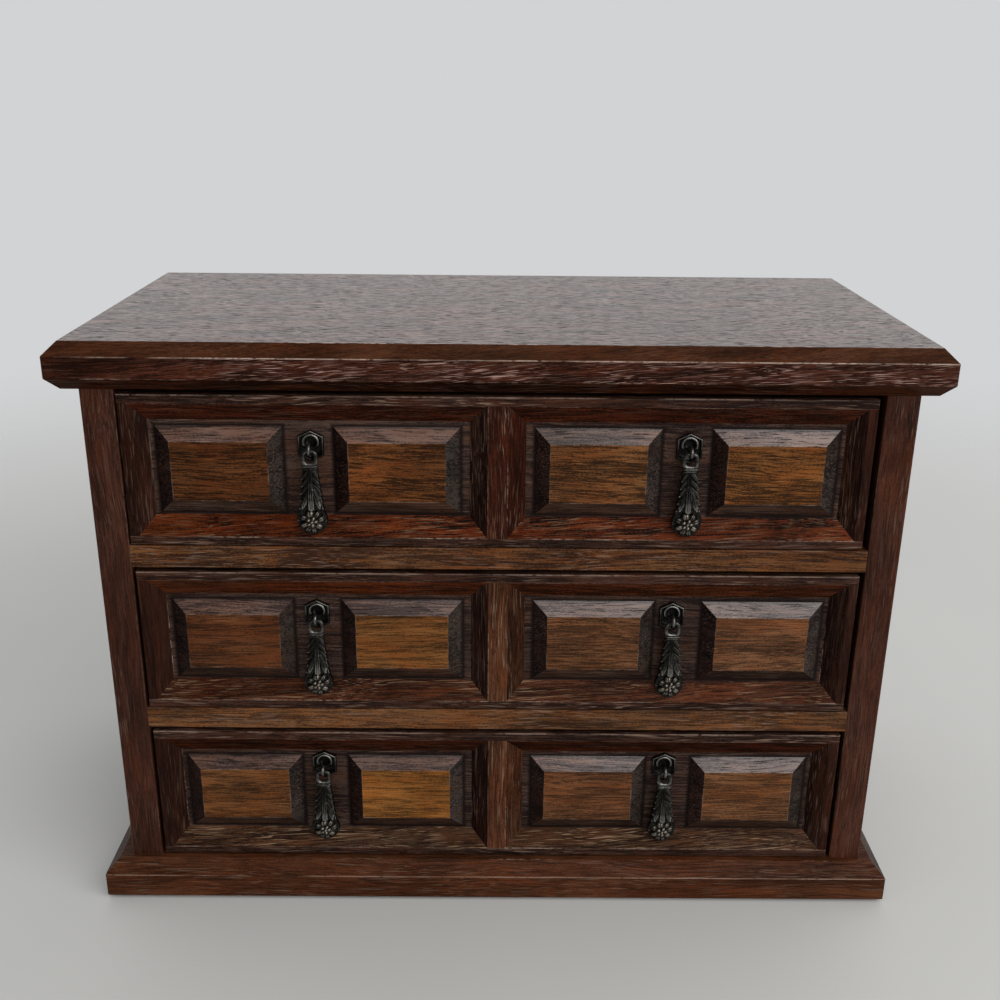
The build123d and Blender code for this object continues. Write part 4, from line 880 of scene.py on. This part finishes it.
# The bail is a rod bent to a rounded square: cosine and sine to the power of 0.65.
sweep = np.linspace(0, 2 * np.pi, 72, endpoint=False)
across, upright = (np.sign(wave) * np.abs(wave) ** 0.65 for wave in (np.cos(sweep), np.sin(sweep)))
bail_path = np.column_stack([0.00215 * across, np.zeros(len(sweep)), 0.00235 * (upright - 1)])
bail_thick = 0.00062 + 0.00014 * np.clip(-np.sin(sweep) + 0.3, 0, 1)
bail_worn = 0.45 + 0.4 * np.clip(-np.sin(sweep), 0, 1)
for name in drawers:
    rear_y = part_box(name + "_drawer_frame")[0].y - rear_gap
    for side in ("left", "right"):
        child = f"{name}_{side}_pendant"
        hinge = hinges[child]
        collar_at = np.array([hinge[0], rear_y - 0.0014, hinge[2] - collar_drop])
        skins = [skin(rod(bail_path + hinge, bail_thick), ring=True, worn=bail_worn[:, None]),
                 skin(bead(collar_at - [0, 0, 0.0006], 0.0028, 0.00138, 0.00052), worn=0.55),
                 skin(bead(collar_at - [0, -0.0002, 0.0015], 0.0025, 0.00115, 0.00050), worn=0.4),
                 skin(drop_shape + [hinge[0], rear_y, hinge[2] - flower_z],
                      worn=drop_wear_and_highlight, bronze=drop_bronze)]
        pendant = smooth_piece(f"{name}_{side}_cast_drop", skins, cast_metal)
        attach(pendant, child)
        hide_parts(child)


# Musical movement: nickel-plated castings and steel with brass gears and cylinder. It is screwed
# to the back panel, behind the shorter top drawer.
def metal(name, colour, rough, scale, bump=0.00003):
    """Worked metal: a colour that varies a little, and a surface that is cast or brushed."""
    material, tree, shader, coordinates = new_material(name)
    cloud = noise(tree, coordinates, 140.0, 3.0)
    tone = mixed(tree, cloud, (*toned(colour, 0.8), 1), (*toned(colour, 1.12), 1))
    stretched = wire(tree, "ShaderNodeMapping", {"Vector": coordinates, "Scale": scale}).outputs[0]
    brushed = noise(tree, stretched, 1.0, 3.0)
    feed(shader, {"Base Color": tone, "Metallic": 1.0, "Normal": raised(tree, brushed, bump, 0.8),
                  "Roughness": maths(tree, "MULTIPLY_ADD", brushed, 0.3, rough - 0.15)})
    return material


movement_finishes = {
    "plated_casting": metal("plated_casting", (0.62, 0.60, 0.55), 0.42, (1800, 1800, 1800), 0.00006),
    "plated_steel": metal("plated_steel", (0.66, 0.66, 0.65), 0.30, (400, 2600, 400)),
    "polished_steel": metal("polished_steel", (0.58, 0.58, 0.60), 0.25, (300, 300, 2600)),
    "blued_steel": metal("blued_steel", (0.10, 0.12, 0.22), 0.28, (900, 900, 200)),
    "yellow_brass": metal("yellow_brass", (0.72, 0.50, 0.20), 0.30, (300, 2400, 2400)),
}
for node, slot in slots.items():
    if slot in movement_finishes:
        plain_finish(node, movement_finishes[slot])
